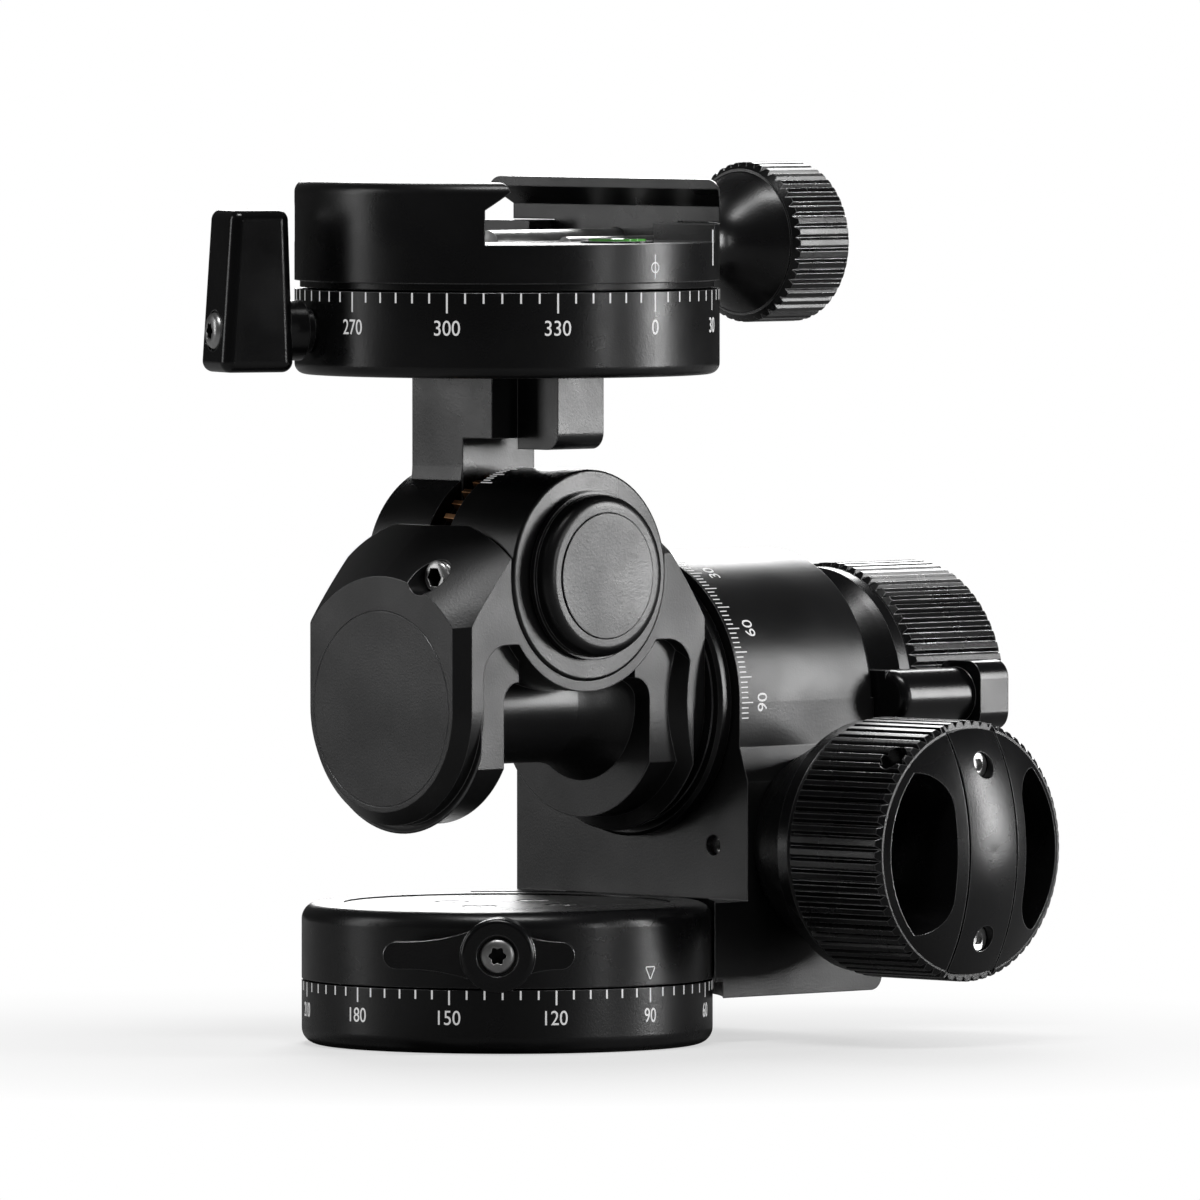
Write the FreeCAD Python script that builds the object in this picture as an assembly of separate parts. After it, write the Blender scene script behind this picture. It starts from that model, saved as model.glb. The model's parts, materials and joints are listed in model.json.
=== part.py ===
import FreeCAD, Part
import math
import os

# A geared tripod head: a panning base, a geared tilt, a geared roll and a
# panning clamp for dovetail plates.  All sizes are in millimetres.
# The origin is the middle of the underside, +Z is up, +X is the roll axis
# and +Y is the tilt axis.

# Driving dimensions: clearances
running_gap = 0.08        # radial play of a shaft in its bush
slide_gap = 0.15          # play beside a sliding piece
seam_gap = 0.3            # gap between two bodies that turn on each other

# Driving dimensions: base dial and turntable
base_r = 30.0
dial_h = 9.3
turntable_h = 11.0
base_rim_round = 2.4
pan_hub_r = 20.0
pan_ledge_h = 6.8
washer_t = 0.5
washer_w = 2.2
retainer_t = 1.4
cover_t = 1.6
mount_thread_r = 3.97
mount_bush_r = 7.0
mount_bush_h = 9.0
lock_axis_h = 5.0         # lock screw above the underside of its disc
lock_stem_r = 2.45
pad_len = 2.4
pad_r = 1.65
wing_azimuth = -46.0
wing_boss_r = 5.4
wing_long = 16.6
wing_short = 11.1
wing_t = 4.6
retainer_screw_ring = 13.0
retainer_hole_r = 1.3
cover_screw_ring = 9.0
cover_recess = 0.6        # depth left under the lid's screw heads
button_r = 2.7            # button head in the middle of a lock lever

# Driving dimensions: frame
axis1_z = 49.5            # height of the tilt axis
frame_y0 = 26.4
frame_y1 = 54.0
frame_x0 = -25.5
frame_x1 = 23.2
frame_shoulder_z = 38.0
leg_z = 6.6
housing_r = 21.5
cavity_r = 18.4
cavity_y0 = 33.6
leg_gap = 0.4             # clearance of the leg round the turntable
notch_gap = 1.5           # clearance of the leg round the dial
leg_y0 = 17.0
frame_screw_x = (-9.0, 9.0)
frame_screw_head_y = 38.0
frame_thread_r = 2.0
bush_screw_x = 16.0
rear_screw_ring = 15.6
rear_recess = 2.0

# Driving dimensions: tilt gear
tilt_shaft_r = 8.0
tilt_bore_r = 4.3
bush_wall = 3.0
tilt_teeth = 40
tilt_pitch_r = 15.4
worm_pitch_r = 5.6
tooth_add = 0.7
tooth_ded = 0.9
wheel_w = 9.0
wheel_y = 41.0
worm_core_r = 3.0
worm_bore_r = 7.0
rotor_r = 20.1
rotor_t = 2.2
rotor_step_r = 18.5
neck_r = 13.0
neck_len = 3.4
cover_plug_t = 3.6
worm_len = 20.0
worm_bush_len = 8.0
rotor_screw_ring = 12.6
rotor_head_r = 1.9
rotor_head_t = 1.3
rotor_thread_r = 1.0
rotor_thread_len = 3.0
lever_rod_r = 4.1
lever_pad_y = 69.0
lever_pad_t = 5.8

# Driving dimensions: big ribbed knobs
knob_r = 19.0
knob_ribs = 68
rib_depth = 0.75
rib_chamfer = 0.8
flange_t = 2.8
rib_len = 18.9
dome_h = 5.0
strap_w = 9.3
strap_gap = 0.35
pocket_w = 10.0
pocket_h = 23.6
pocket_off = 12.0
pocket_depth = 15.0
tilt_bell = 9.4
roll_bell = 4.8
bell_r0 = 13.6
strap_screw_y = 12.6
strap_seat = 0.6          # depth of the strap's screw seats over the ribs

# Driving dimensions: bridge and roll gear
axis2_z = 68.7            # height of the roll axis
bridge_half = 17.0
bridge_y0 = -25.3
bridge_y1 = 23.7
bridge_face_r = 19.25
bridge_high_r = 27.8
bridge_cone_len = 9.95
bridge_low_edge = 2.0
bridge_rear_r = 21.0
bridge_top_z = 76.0
core_r = 8.7
cradle_wall = 1.5
barrel_r = 15.4
barrel_x0 = 2.4
barrel_x1 = 17.4
pocket_arch_r = 4.6
pocket_arch_y = 16.3
pocket_arch_z = 54.4
step_x = 14.7            # depth where the end walls step inwards
step_wall_y = 14.7
step_arch_r = 3.0
step_arch_z = 50.4
front_cap_r = 14.2
front_cap_t = 1.5
roll_teeth = 36
roll_pitch_r = 14.0
roll_worm_pitch_r = 5.2
roll_wheel_x0 = -0.6
roll_wheel_x1 = 4.2
axle_r = 5.0
boss_r = 12.3
boss_t = 3.3
boss_seat = 2.5           # where the cap sits in the boss
axle_cap_r = 9.1
roll_worm_len = 16.0
roll_bore_r = 6.3
roll_bush_in = 13.0       # inner and outer ends of the roll worm's bushes
roll_bush_out = 20.4
lash_x = 8.0
lash_y0 = -22.3           # outer end of the lash screw
lash_r = 2.45
lash_len = 5.0
lash_edge = 0.35

# Driving dimensions: arm and top
arm_x0 = -12.5
arm_half = 7.2
hub_x0 = -13.5
hub_low_x = -7.2
hub_step_x = -2.0
hub_rim_drop = 4.0        # how far below the axis the hub keeps its wide rim
hub_small_r = 12.8
neck_x1 = -1.8
block_x1 = 12.8
block_z0 = 86.8
block_mid_x = 4.3
block_back_y = -2.0
top_r = 31.0
top_dial_z = 97.7
top_dial_h = 12.4
clamp_gap = 1.3
clamp_lip_in = 0.8
clamp_z1 = 126.0
channel_z = 117.0
far_rim_z = 119.6
top_lock_azimuth = -112.0
near_lip_y = -21.0
jaw_lip_y = 19.5
dovetail_depth = 2.6
clamp_screw_z = 116.2
clamp_screw_r = 2.4
clamp_knob_r = 11.8
clamp_knob_y0 = 47.6
clamp_knob_y1 = 59.3
clamp_knob_ribs = 44
clamp_neck_y = 35.6
clamp_journal_r = 3.1
floor_t = 2.0
arm_thread_r = 1.5
arm_head_r = 2.6
tongue_half = 13.0
tongue_y0 = 20.0
tongue_y1 = 27.0
tongue_z0 = 112.9
pin_x = 9.0
pin_r = 1.5
pin_y0 = 3.0
pin_y1 = 25.5
vial_in = 10.0            # from the clamp's rim to the level's middle
vial_y = 2.0
vial_r = 4.2
bezel_w = 1.1
paddle_gap = 4.3          # from the dial's rim to the lever's paddle
paddle_t = 10.9
paddle_half = 5.0
paddle_low = 6.0
paddle_high = 17.6

# Values worked out from the driving dimensions
turntable_z = dial_h + seam_gap
turntable_top = turntable_z + turntable_h
base_lock_z = turntable_z + lock_axis_h
worm_z = axis1_z - tilt_pitch_r - worm_pitch_r
clamp_z0 = top_dial_z + top_dial_h + clamp_gap
top_lock_z = top_dial_z + 6.6
hub_top = turntable_z + pan_ledge_h + washer_t + 0.1
ledge_z = turntable_z + pan_ledge_h
cover_r = pan_hub_r + washer_w + 1.6
cover_z = turntable_top - cover_t - 0.2
wing_face = base_r + seam_gap + wing_t - 0.4
frame_screw_z = turntable_z + 5.4
frame_screw_tip = pan_hub_r + 1.0
tilt_pitch = 2 * math.pi * tilt_pitch_r / tilt_teeth
roll_pitch = 2 * math.pi * roll_pitch_r / roll_teeth
tilt_lead = math.degrees(math.atan(tilt_pitch / (2 * math.pi * worm_pitch_r)))
roll_lead = math.degrees(math.atan(roll_pitch / (2 * math.pi * roll_worm_pitch_r)))
worm_x0 = frame_x0 + 3.2
worm_x1 = frame_x1 + tilt_bell + flange_t + 1.0
rotor_back = frame_y0 - seam_gap
rotor_end = frame_y1 + neck_len + 2.6
nut_y = frame_y1 + neck_len + 0.1
lever_rod_x = knob_r + 0.5 + lever_rod_r
lever_y0 = frame_y1 + 0.3
rib_start = flange_t
rib_end = flange_t + rib_len
dome_top = rib_end + dome_h
slot_floor = dome_top - pocket_depth + 2.0
land_r = knob_r - rib_depth - 0.35
roll_knob_y = frame_y1 + neck_len + 0.4 + roll_bell
boss_x0 = barrel_x1 + seam_gap
top_hub_z = top_dial_z + floor_t + 2.2
top_ledge_z = top_hub_z + 0.6
undercut_z = clamp_z1 - 4.0
paddle_r0 = top_r + paddle_gap
paddle_r1 = paddle_r0 + paddle_t
vial_x = top_r - vial_in

V = FreeCAD.Vector
AXES = {"x": V(1, 0, 0), "y": V(0, 1, 0), "z": V(0, 0, 1)}


def place(axis, a, b, along):
    """A point from its place along an axis and its other two coordinates."""
    if axis == "x":
        return V(along, a, b)
    if axis == "y":
        return V(a, along, b)
    return V(a, b, along)


def rod(axis, a, b, r, start, end):
    """A cylinder along an axis, centred on the other two coordinates a, b."""
    return Part.makeCylinder(r, end - start, place(axis, a, b, start), AXES[axis])


def tube(axis, a, b, r_in, r_out, start, end):
    """A tube along an axis."""
    return rod(axis, a, b, r_out, start, end).cut(rod(axis, a, b, r_in, start, end))


def block(x0, x1, y0, y1, z0, z1):
    """A box between two corners."""
    return Part.makeBox(x1 - x0, y1 - y0, z1 - z0, V(x0, y0, z0))


def turned(profile, axis, a, b):
    """A turned solid from (along, radius) points of a closed profile."""
    side = {"x": V(0, 0, 1), "y": V(0, 0, 1), "z": V(1, 0, 0)}[axis]
    centre = place(axis, a, b, 0)
    points = [centre + AXES[axis] * t + side * r for t, r in profile]
    face = Part.Face(Part.makePolygon(points + points[:1]))
    return face.revolve(centre, AXES[axis], 360)


def fuse(first, *others):
    """One solid from several that touch."""
    return first.fuse(list(others)).removeSplitter()


def group(shapes):
    """Separate solids kept together in one sub-part."""
    return Part.makeCompound(shapes)


def circle_edges(shape, axis, r, along):
    """The full circles of a radius that lie at one place along an axis."""
    found = []
    for edge in shape.Edges:
        curve = edge.Curve
        if not isinstance(curve, Part.Circle):
            continue
        if abs(curve.Radius - r) > 0.01:
            continue
        if abs(curve.Center.dot(AXES[axis]) - along) < 0.01:
            found.append(edge)
    return found


def rounded(shape, axis, r, along, size):
    """Round the circular edges of one radius at one place."""
    return shape.makeFillet(size, circle_edges(shape, axis, r, along))


def around(azimuth, shape):
    """Turn a solid that was made on the +X side to its azimuth."""
    turned_shape = shape.copy()
    turned_shape.rotate(V(0, 0, 0), V(0, 0, 1), azimuth)
    return turned_shape


def ring_of(count, a, b, r, make, start_angle=45.0):
    """Copies of a solid spaced evenly about an axis; make gets the centre."""
    made = []
    for index in range(count):
        angle = math.radians(start_angle + 360.0 * index / count)
        made.append(make(a + r * math.cos(angle), b + r * math.sin(angle)))
    return made


def socket_screw(axis, a, b, head_r, head_from, head_to, shank_r, shank_to):
    """A cap screw along an axis with a hexagon socket in its head."""
    low, high = sorted((head_from, head_to))
    head = rod(axis, a, b, head_r, low, high)
    low, high = sorted((head_to, shank_to))
    shank = rod(axis, a, b, shank_r, low, high)
    depth = 0.6 * (head_to - head_from)
    low, high = sorted((head_from, head_from + depth))
    key = hexagon(axis, a, b, 0.5 * head_r, low, high)
    return fuse(head, shank).cut(key)


def hexagon(axis, a, b, r, start, end):
    """A hexagonal prism along an axis."""
    points = []
    for index in range(7):
        angle = math.radians(60 * index)
        points.append(place(axis, a + r * math.cos(angle), b + r * math.sin(angle), start))
    face = Part.Face(Part.makePolygon(points))
    return face.extrude(AXES[axis] * (end - start))


def clean(shape):
    """The largest solid of a cut, without slivers."""
    solids = sorted(shape.Solids, key=lambda solid: solid.Volume)
    return solids[-1]


# Base: fixed dial, thread bush and the bearing of the turntable


def dial_base():
    """The fixed dial with the hub that the turntable turns on."""
    disc = rod("z", 0, 0, base_r, 0, dial_h)
    disc = rounded(disc, "z", base_r, 0, base_rim_round)
    hub = rod("z", 0, 0, pan_hub_r, dial_h, hub_top)
    body = fuse(disc, hub)
    body = body.cut(rod("z", 0, 0, mount_bush_r, 0, mount_bush_h))
    for hole in retainer_holes(hub_top - 6.0, hub_top):
        body = body.cut(hole)
    return body


def retainer_holes(start, end):
    """The four holes of the retainer's screws."""
    return ring_of(4, 0, 0, retainer_screw_ring, lambda a, b: rod("z", a, b, retainer_hole_r, start, end))


def mount_bush():
    """The steel insert with the threaded hole for the tripod's screw."""
    return tube("z", 0, 0, mount_thread_r, mount_bush_r, 0, mount_bush_h)


def pan_washer():
    """The low-friction washer under the retainer."""
    low = turntable_z + pan_ledge_h + 0.05
    return tube("z", 0, 0, pan_hub_r + 0.2, pan_hub_r + washer_w, low, low + washer_t)


def pan_retainer():
    """The disc that keeps the turntable on the hub."""
    disc = rod("z", 0, 0, pan_hub_r + washer_w, hub_top, hub_top + retainer_t)
    for hole in retainer_holes(hub_top, hub_top + retainer_t):
        disc = disc.cut(hole)
    return disc


def retainer_screws():
    """Four low screws that hold the retainer."""
    top = hub_top + retainer_t

    def screw(a, b):
        head = rod("z", a, b, 2.2, top, top + 0.25)
        shank = rod("z", a, b, retainer_hole_r - 0.05, hub_top - 5.6, top)
        return fuse(head, shank)

    return group(ring_of(4, 0, 0, retainer_screw_ring, screw))


# Turntable with its cover and lock


def lock_hole(z, r_from, r_to):
    """The hole of a lock screw, on the +X side."""
    return rod("x", 0, z, lock_stem_r + 0.05, r_from, r_to)


def turntable():
    """The turning half of the base."""
    body = rod("z", 0, 0, base_r, turntable_z, turntable_top)
    body = rounded(body, "z", base_r, turntable_top, base_rim_round)
    body = body.cut(rod("z", 0, 0, pan_hub_r + running_gap, turntable_z, ledge_z))
    body = body.cut(rod("z", 0, 0, pan_hub_r + washer_w + 0.2, ledge_z, turntable_top))
    body = body.cut(rod("z", 0, 0, cover_r + 0.05, cover_z, turntable_top))
    body = body.cut(around(wing_azimuth, lock_hole(base_lock_z, pan_hub_r - 1, base_r + 1)))
    for x in frame_screw_x:
        body = body.cut(rod("y", x, frame_screw_z, frame_thread_r, frame_screw_tip - 0.2, base_r))
    return body


def cover_screw_places():
    """Where the four cover screws sit."""
    return ring_of(4, 0, 0, cover_screw_ring, lambda a, b: (a, b), 20.0)


def turntable_cover():
    """The lid over the bearing, with recessed screws."""
    disc = rod("z", 0, 0, cover_r, cover_z, cover_z + cover_t)
    for a, b in cover_screw_places():
        disc = disc.cut(rod("z", a, b, 2.6, cover_z + cover_recess, cover_z + cover_t))
    return disc


def cover_screws():
    """Low heads in the lid's recesses."""
    heads = []
    for a, b in cover_screw_places():
        head = rod("z", a, b, 2.3, cover_z + cover_recess, cover_z + cover_t - 0.1)
        heads.append(head.cut(hexagon("z", a, b, 1.2, cover_z + 0.9, cover_z + cover_t)))
    return group(heads)


def pad_at(z, hub_r, azimuth):
    """A brake pad in a lock hole."""
    start = hub_r + 0.12
    return around(azimuth, rod("x", 0, z, pad_r, start, start + pad_len))


def lever_stem(z, hub_r, outer_r, azimuth, out):
    """The threaded stem that a lock lever turns."""
    start = hub_r + 0.12 + pad_len + 0.05
    return around(azimuth, rod("x", 0, z, lock_stem_r, start, outer_r + out))


def wing_lever():
    """The lock lever with one long and one short wing."""
    back = base_r + seam_gap
    front = back + wing_t
    boss = rod("x", 0, base_lock_z, wing_boss_r, back, front + 0.8)
    boss = rounded(boss, "x", wing_boss_r, front + 0.8, 0.7)

    def wing(length, side):
        tip = 2.0
        y_tip = side * (length - tip)
        y_mid = side * 0.55 * length
        top = [V(back + 1.0, 0, wing_boss_r - 0.3), V(back + 1.0, y_mid, 2.3), V(back + 1.0, y_tip, tip)]
        low = [V(p.x, p.y, -p.z) for p in top]
        upper = Part.BSplineCurve()
        upper.interpolate(top)
        lower = Part.BSplineCurve()
        lower.interpolate(low)
        end = Part.Arc(top[2], V(back + 1.0, side * length, 0), low[2])
        root = Part.LineSegment(low[0], top[0])
        wire = Part.Wire(Part.__sortEdges__([upper.toShape(), end.toShape(), lower.toShape(), root.toShape()]))
        return Part.Face(wire).extrude(V(wing_t - 1.6, 0, 0))

    wings = [wing(wing_long, -1), wing(wing_short, 1)]
    for shape in wings:
        shape.translate(V(0, 0, base_lock_z))
    lever = fuse(boss, *wings)
    bore = rod("x", 0, base_lock_z, lock_stem_r, back, front)
    recess = rod("x", 0, base_lock_z, 3.0, front - 0.4, front + 1)
    return around(wing_azimuth, lever.cut(bore).cut(recess))


def button_screw(z, start, r, azimuth):
    """A button head in the middle of a lock lever."""
    head = rod("x", 0, z, r, start, start + 1.5)
    head = rounded(head, "x", r, start + 1.5, 0.9)
    head = head.cut(hexagon("x", 0, z, 1.1, start + 0.5, start + 2))
    return around(azimuth, head)


# Frame that stands on the turntable and holds the tilt gear


def frame_blank():
    """The frame's outer form: foot block, flared cheeks and housing."""
    housing = rod("y", 0, axis1_z, housing_r, frame_y0, frame_y1)
    housing = rounded(housing, "y", housing_r, frame_y1, 0.8)
    foot = block(frame_x0, frame_x1, frame_y0, frame_y1, turntable_top, frame_shoulder_z)
    leg = block(frame_x0, frame_x1, leg_y0, frame_y1, leg_z, turntable_top)
    left = [(frame_x0, frame_shoulder_z), (-housing_r, frame_shoulder_z + 5.5), (-housing_r, axis1_z)]
    right = [(housing_r, axis1_z), (housing_r, frame_shoulder_z + 5.0), (frame_x1, frame_shoulder_z)]
    points = [V(x, frame_y0, z) for x, z in left + right]
    cheeks = Part.Face(Part.makePolygon(points + points[:1])).extrude(V(0, frame_y1 - frame_y0, 0))
    return fuse(housing, foot, cheeks), leg


def frame():
    """The one-piece frame with the gear chamber and the worm's bore."""
    upper, leg = frame_blank()
    leg = leg.cut(rod("z", 0, 0, base_r + leg_gap, turntable_z - 0.6, turntable_top))
    leg = leg.cut(rod("z", 0, 0, base_r + notch_gap, 0, turntable_z - 0.6))
    corner = [V(x, frame_y1, leg_z) for x in (frame_x0, frame_x1)]
    body = fuse(upper, leg)
    edges = [e for e in body.Edges if on_line(e, corner[0], corner[1])]
    body = body.makeFillet(2.2, edges)
    body = body.cut(rod("y", 0, axis1_z, tilt_shaft_r + bush_wall, frame_y0, cavity_y0))
    body = body.cut(rod("y", 0, axis1_z, cavity_r, cavity_y0, frame_y1))
    body = body.cut(rod("x", wheel_y, worm_z, worm_bore_r, frame_x0, frame_x1))
    for x in frame_screw_x:
        body = body.cut(rod("y", x, frame_screw_z, 2.1, 20.0, frame_y1))
        body = body.cut(rod("y", x, frame_screw_z, 3.8, frame_screw_head_y, frame_y1))
    body = body.cut(rod("y", bush_screw_x, worm_z, 1.5, frame_y0, wheel_y))
    return clean(body)


def on_line(edge, start, end):
    """Whether an edge lies on the straight line between two points."""
    line = (end - start).normalize()
    for vertex in edge.Vertexes:
        offset = vertex.Point - start
        if (offset - line * offset.dot(line)).Length > 0.01:
            return False
    return len(edge.Vertexes) == 2


def frame_screws():
    """Two screws through the leg into the turntable."""
    made = []
    for x in frame_screw_x:
        made.append(socket_screw("y", x, frame_screw_z, 3.5, frame_screw_head_y + 4, frame_screw_head_y,
                                 frame_thread_r - 0.05, frame_screw_tip))
    return group(made)


def bush_set_screw():
    """The small set screw that holds the worm's bush."""
    body = rod("y", bush_screw_x, worm_z, 1.45, frame_y0 + 1.2, wheel_y - worm_bore_r)
    return body.cut(hexagon("y", bush_screw_x, worm_z, 0.8, frame_y0 + 1.2, frame_y0 + 2.6))


def tilt_front_bush():
    """The bronze bush behind the rotor's flange."""
    outer_r = tilt_shaft_r + bush_wall
    return tube("y", 0, axis1_z, tilt_shaft_r + running_gap, outer_r, frame_y0 + 0.4, cavity_y0)


def tilt_rear_bush():
    """The bronze bush in the rear cover."""
    start = frame_y1 - cover_plug_t
    end = frame_y1 + neck_len
    return tube("y", 0, axis1_z, tilt_shaft_r + running_gap, tilt_shaft_r + bush_wall, start, end)


def rear_cover():
    """The plug that closes the gear chamber, with the neck for the lever."""
    plug = rod("y", 0, axis1_z, cavity_r, frame_y1 - cover_plug_t, frame_y1 - 0.4)
    neck = rod("y", 0, axis1_z, neck_r, frame_y1 - 0.4, frame_y1 + neck_len)
    body = fuse(plug, neck)
    bore = rod("y", 0, axis1_z, tilt_shaft_r + bush_wall, frame_y1 - cover_plug_t, frame_y1 + neck_len)
    body = body.cut(bore)
    for hole in ring_of(4, 0, axis1_z, rear_screw_ring, rear_screw_hole):
        body = body.cut(hole)
    return body


def rear_screw_hole(x, z):
    """A recess for one rear screw."""
    return rod("y", x, z, 1.7, frame_y1 - rear_recess, frame_y1)


def rear_screws():
    """Four screws of the rear cover."""
    def screw(x, z):
        head = rod("y", x, z, 1.65, frame_y1 - rear_recess, frame_y1 - 0.6)
        return head.cut(hexagon("y", x, z, 0.9, frame_y1 - 1.4, frame_y1))

    return group(ring_of(4, 0, axis1_z, rear_screw_ring, screw))


# Worm gears
def worm_thread(pitch, pitch_r, length):
    """A single-start worm thread about Z, centred on the origin."""
    root_r = pitch_r - tooth_ded
    outer_r = pitch_r + tooth_add
    helix = Part.makeHelix(pitch, length, root_r - 0.3)
    helix.translate(V(0, 0, -length / 2))
    half_root = 0.27 * pitch
    half_tip = 0.11 * pitch
    x0 = root_r - 0.3
    low = -length / 2
    corners = [V(x0, 0, low - half_root), V(outer_r, 0, low - half_tip)]
    corners += [V(outer_r, 0, low + half_tip), V(x0, 0, low + half_root)]
    profile = Part.makePolygon(corners + corners[:1])
    thread = Part.Wire(helix).makePipeShell([profile], True, True)
    core = Part.makeCylinder(root_r, length + 2.0, V(0, 0, -length / 2 - 1.0))
    return core.fuse(Part.Solid(thread) if thread.ShapeType != "Solid" else thread)


def worm_wheel(teeth, pitch_r, width, bore_r, lead_angle):
    """A worm wheel about Z with inclined slots, centred on the origin."""
    outer_r = pitch_r + tooth_add
    wheel = Part.makeCylinder(outer_r, width, V(0, 0, -width / 2))
    pitch = 2 * math.pi * pitch_r / teeth
    half_top = 0.40 * pitch
    half_low = 0.24 * pitch
    depth = tooth_add + tooth_ded + 0.15
    points = [V(outer_r + 0.5, -half_top, 0), V(outer_r - depth, -half_low, 0)]
    points += [V(outer_r - depth, half_low, 0), V(outer_r + 0.5, half_top, 0)]
    face = Part.Face(Part.makePolygon(points + points[:1]))
    slot = face.extrude(V(0, 0, 2 * width))
    slot.translate(V(0, 0, -width))
    slot.rotate(V(0, 0, 0), V(1, 0, 0), lead_angle)
    slots = []
    for index in range(teeth):
        copy = slot.copy()
        copy.rotate(V(0, 0, 0), V(0, 0, 1), 360.0 * index / teeth)
        slots.append(copy)
    wheel = wheel.cut(Part.makeCompound(slots))
    return wheel.cut(Part.makeCylinder(bore_r, width, V(0, 0, -width / 2)))


def turn_to(shape, x_dir, z_dir, centre):
    """Set a solid made about Z into place by two of its directions."""
    y_dir = z_dir.cross(x_dir)
    moved = shape.copy()
    target = FreeCAD.Placement(centre, FreeCAD.Rotation(x_dir, y_dir, z_dir, "ZXY"))
    moved.Placement = target.multiply(shape.Placement)
    return moved


def tilt_wheel():
    """The bronze wheel on the tilt shaft."""
    wheel = worm_wheel(tilt_teeth, tilt_pitch_r, wheel_w, tilt_shaft_r, -tilt_lead)
    return turn_to(wheel, V(0, 0, -1), V(0, 1, 0), V(0, wheel_y, axis1_z))


def tilt_worm():
    """The steel worm under the wheel, with its shaft to the knob."""
    thread = worm_thread(tilt_pitch, worm_pitch_r, worm_len)
    phase = 360.0 * (worm_len / 2 % tilt_pitch) / tilt_pitch
    thread.rotate(V(0, 0, 0), V(0, 0, 1), -phase)
    worm = turn_to(thread, V(0, 0, 1), V(1, 0, 0), V(0, wheel_y, worm_z))
    shaft = rod("x", wheel_y, worm_z, worm_core_r, worm_x0, worm_x1)
    return worm.fuse(shaft)


def worm_bush_left():
    """The worm's bush away from the knob."""
    return tube("x", wheel_y, worm_z, worm_core_r + running_gap, worm_bore_r, worm_x0 + 0.4,
                worm_x0 + worm_bush_len)


def worm_bush_right():
    """The worm's bush beside the knob."""
    return tube("x", wheel_y, worm_z, worm_core_r + running_gap, worm_bore_r, frame_x1 - worm_bush_len,
                frame_x1)


def worm_end_plug():
    """The threaded plug that sets the worm's end play."""
    plug = rod("x", wheel_y, worm_z, worm_bore_r, frame_x0 + 0.3, worm_x0 - 0.1)
    return plug.cut(hexagon("x", wheel_y, worm_z, 2.5, frame_x0 + 0.3, frame_x0 + 2.2))


def tilt_rotor():
    """The flange and hollow shaft that the bridge is bolted to."""
    disc_y = rotor_back - rotor_t
    flange = turned([(bridge_y1, 0), (bridge_y1, rotor_step_r), (disc_y, rotor_step_r), (disc_y, rotor_r - 0.5),
                     (disc_y + 0.5, rotor_r), (rotor_back, rotor_r), (rotor_back, 0)], "y", 0, axis1_z)
    shaft = rod("y", 0, axis1_z, tilt_shaft_r, rotor_back, rotor_end)
    body = fuse(flange, shaft)
    body = body.cut(rod("y", 0, axis1_z, tilt_bore_r, bridge_y1, rotor_end))
    for x, z in rotor_screw_places():
        body = body.cut(rod("y", x, z, rotor_head_r + 0.05, rotor_back - rotor_head_t, rotor_back))
        body = body.cut(rod("y", x, z, rotor_thread_r + 0.05, bridge_y1, rotor_back))
    return body


def tilt_nut():
    """The ring nut that keeps the shaft in its bushes."""
    return tube("y", 0, axis1_z, tilt_shaft_r, tilt_shaft_r + 3.2, nut_y, rotor_end)


# Lock lever on the rear neck


def tilt_lock_lever():
    """A ring on the neck with an arm, a rod beside the knob and a pad."""
    ring = rod("y", 0, axis1_z, neck_r + 3.2, lever_y0, frame_y1 + neck_len - 0.2)
    arm = block(neck_r, lever_rod_x, lever_y0, frame_y1 + neck_len - 0.2, axis1_z - 4.0, axis1_z + 4.0)
    bar = rod("y", lever_rod_x, axis1_z, lever_rod_r, lever_y0, lever_pad_y)
    bar = rounded(bar, "y", lever_rod_r, lever_y0, 1.5)
    pad = block(lever_rod_x - 3.8, lever_rod_x + 5.1, lever_pad_y, lever_pad_y + lever_pad_t,
                axis1_z - 5.1, axis1_z + 5.1)
    along = [e for e in pad.Edges if abs(e.tangentAt(e.FirstParameter).y) > 0.9]
    pad = pad.makeFillet(2.6, along)
    body = fuse(ring, arm, bar, pad)
    body = body.cut(rod("y", 0, axis1_z, neck_r + running_gap, lever_y0, frame_y1 + neck_len))
    return clean(body)


# Big ribbed knobs
def star(ribs, r, depth, start, end):
    """A ribbed cylinder about Z."""
    points = []
    step = 2 * math.pi / ribs
    for index in range(ribs):
        middle = index * step
        for angle, radius in ((-0.24, r), (0.24, r), (0.5, r - depth)):
            turn = middle + angle * step
            points.append(V(radius * math.cos(turn), radius * math.sin(turn), start))
    face = Part.Face(Part.makePolygon(points + points[:1]))
    return face.extrude(V(0, 0, end - start))


def dome_blank(r):
    """A plug about Z with a domed end."""
    arc = Part.Arc(V(0, 0, dome_top), V(r * 0.62, 0, rib_end + dome_h * 0.66), V(r, 0, rib_end))
    lines = [Part.LineSegment(V(r, 0, rib_end), V(r, 0, rib_start)).toShape()]
    lines.append(Part.LineSegment(V(r, 0, rib_start), V(0, 0, rib_start)).toShape())
    lines.append(Part.LineSegment(V(0, 0, rib_start), V(0, 0, dome_top)).toShape())
    face = Part.Face(Part.Wire(Part.__sortEdges__([arc.toShape()] + lines)))
    return face.revolve(V(0, 0, 0), V(0, 0, 1), 360)


def stadium(w, h, off, start, end):
    """An upright slot with round ends, beside the knob's middle."""
    r = w / 2
    middle = block(off - r, off + r, -(h / 2 - r), h / 2 - r, start, end)
    ends = [rod("z", off, side * (h / 2 - r), r, start, end) for side in (-1, 1)]
    return fuse(middle, *ends)


def chamfered_disc(r, chamfer, start, end):
    """The chamfered disc about Z that limits a knob's ribs."""
    outer = r + 0.1
    return turned([(start, 0), (start, r - chamfer), (start + chamfer, outer), (end - chamfer, outer),
                   (end, r - chamfer), (end, 0)], "z", 0, 0)


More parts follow.
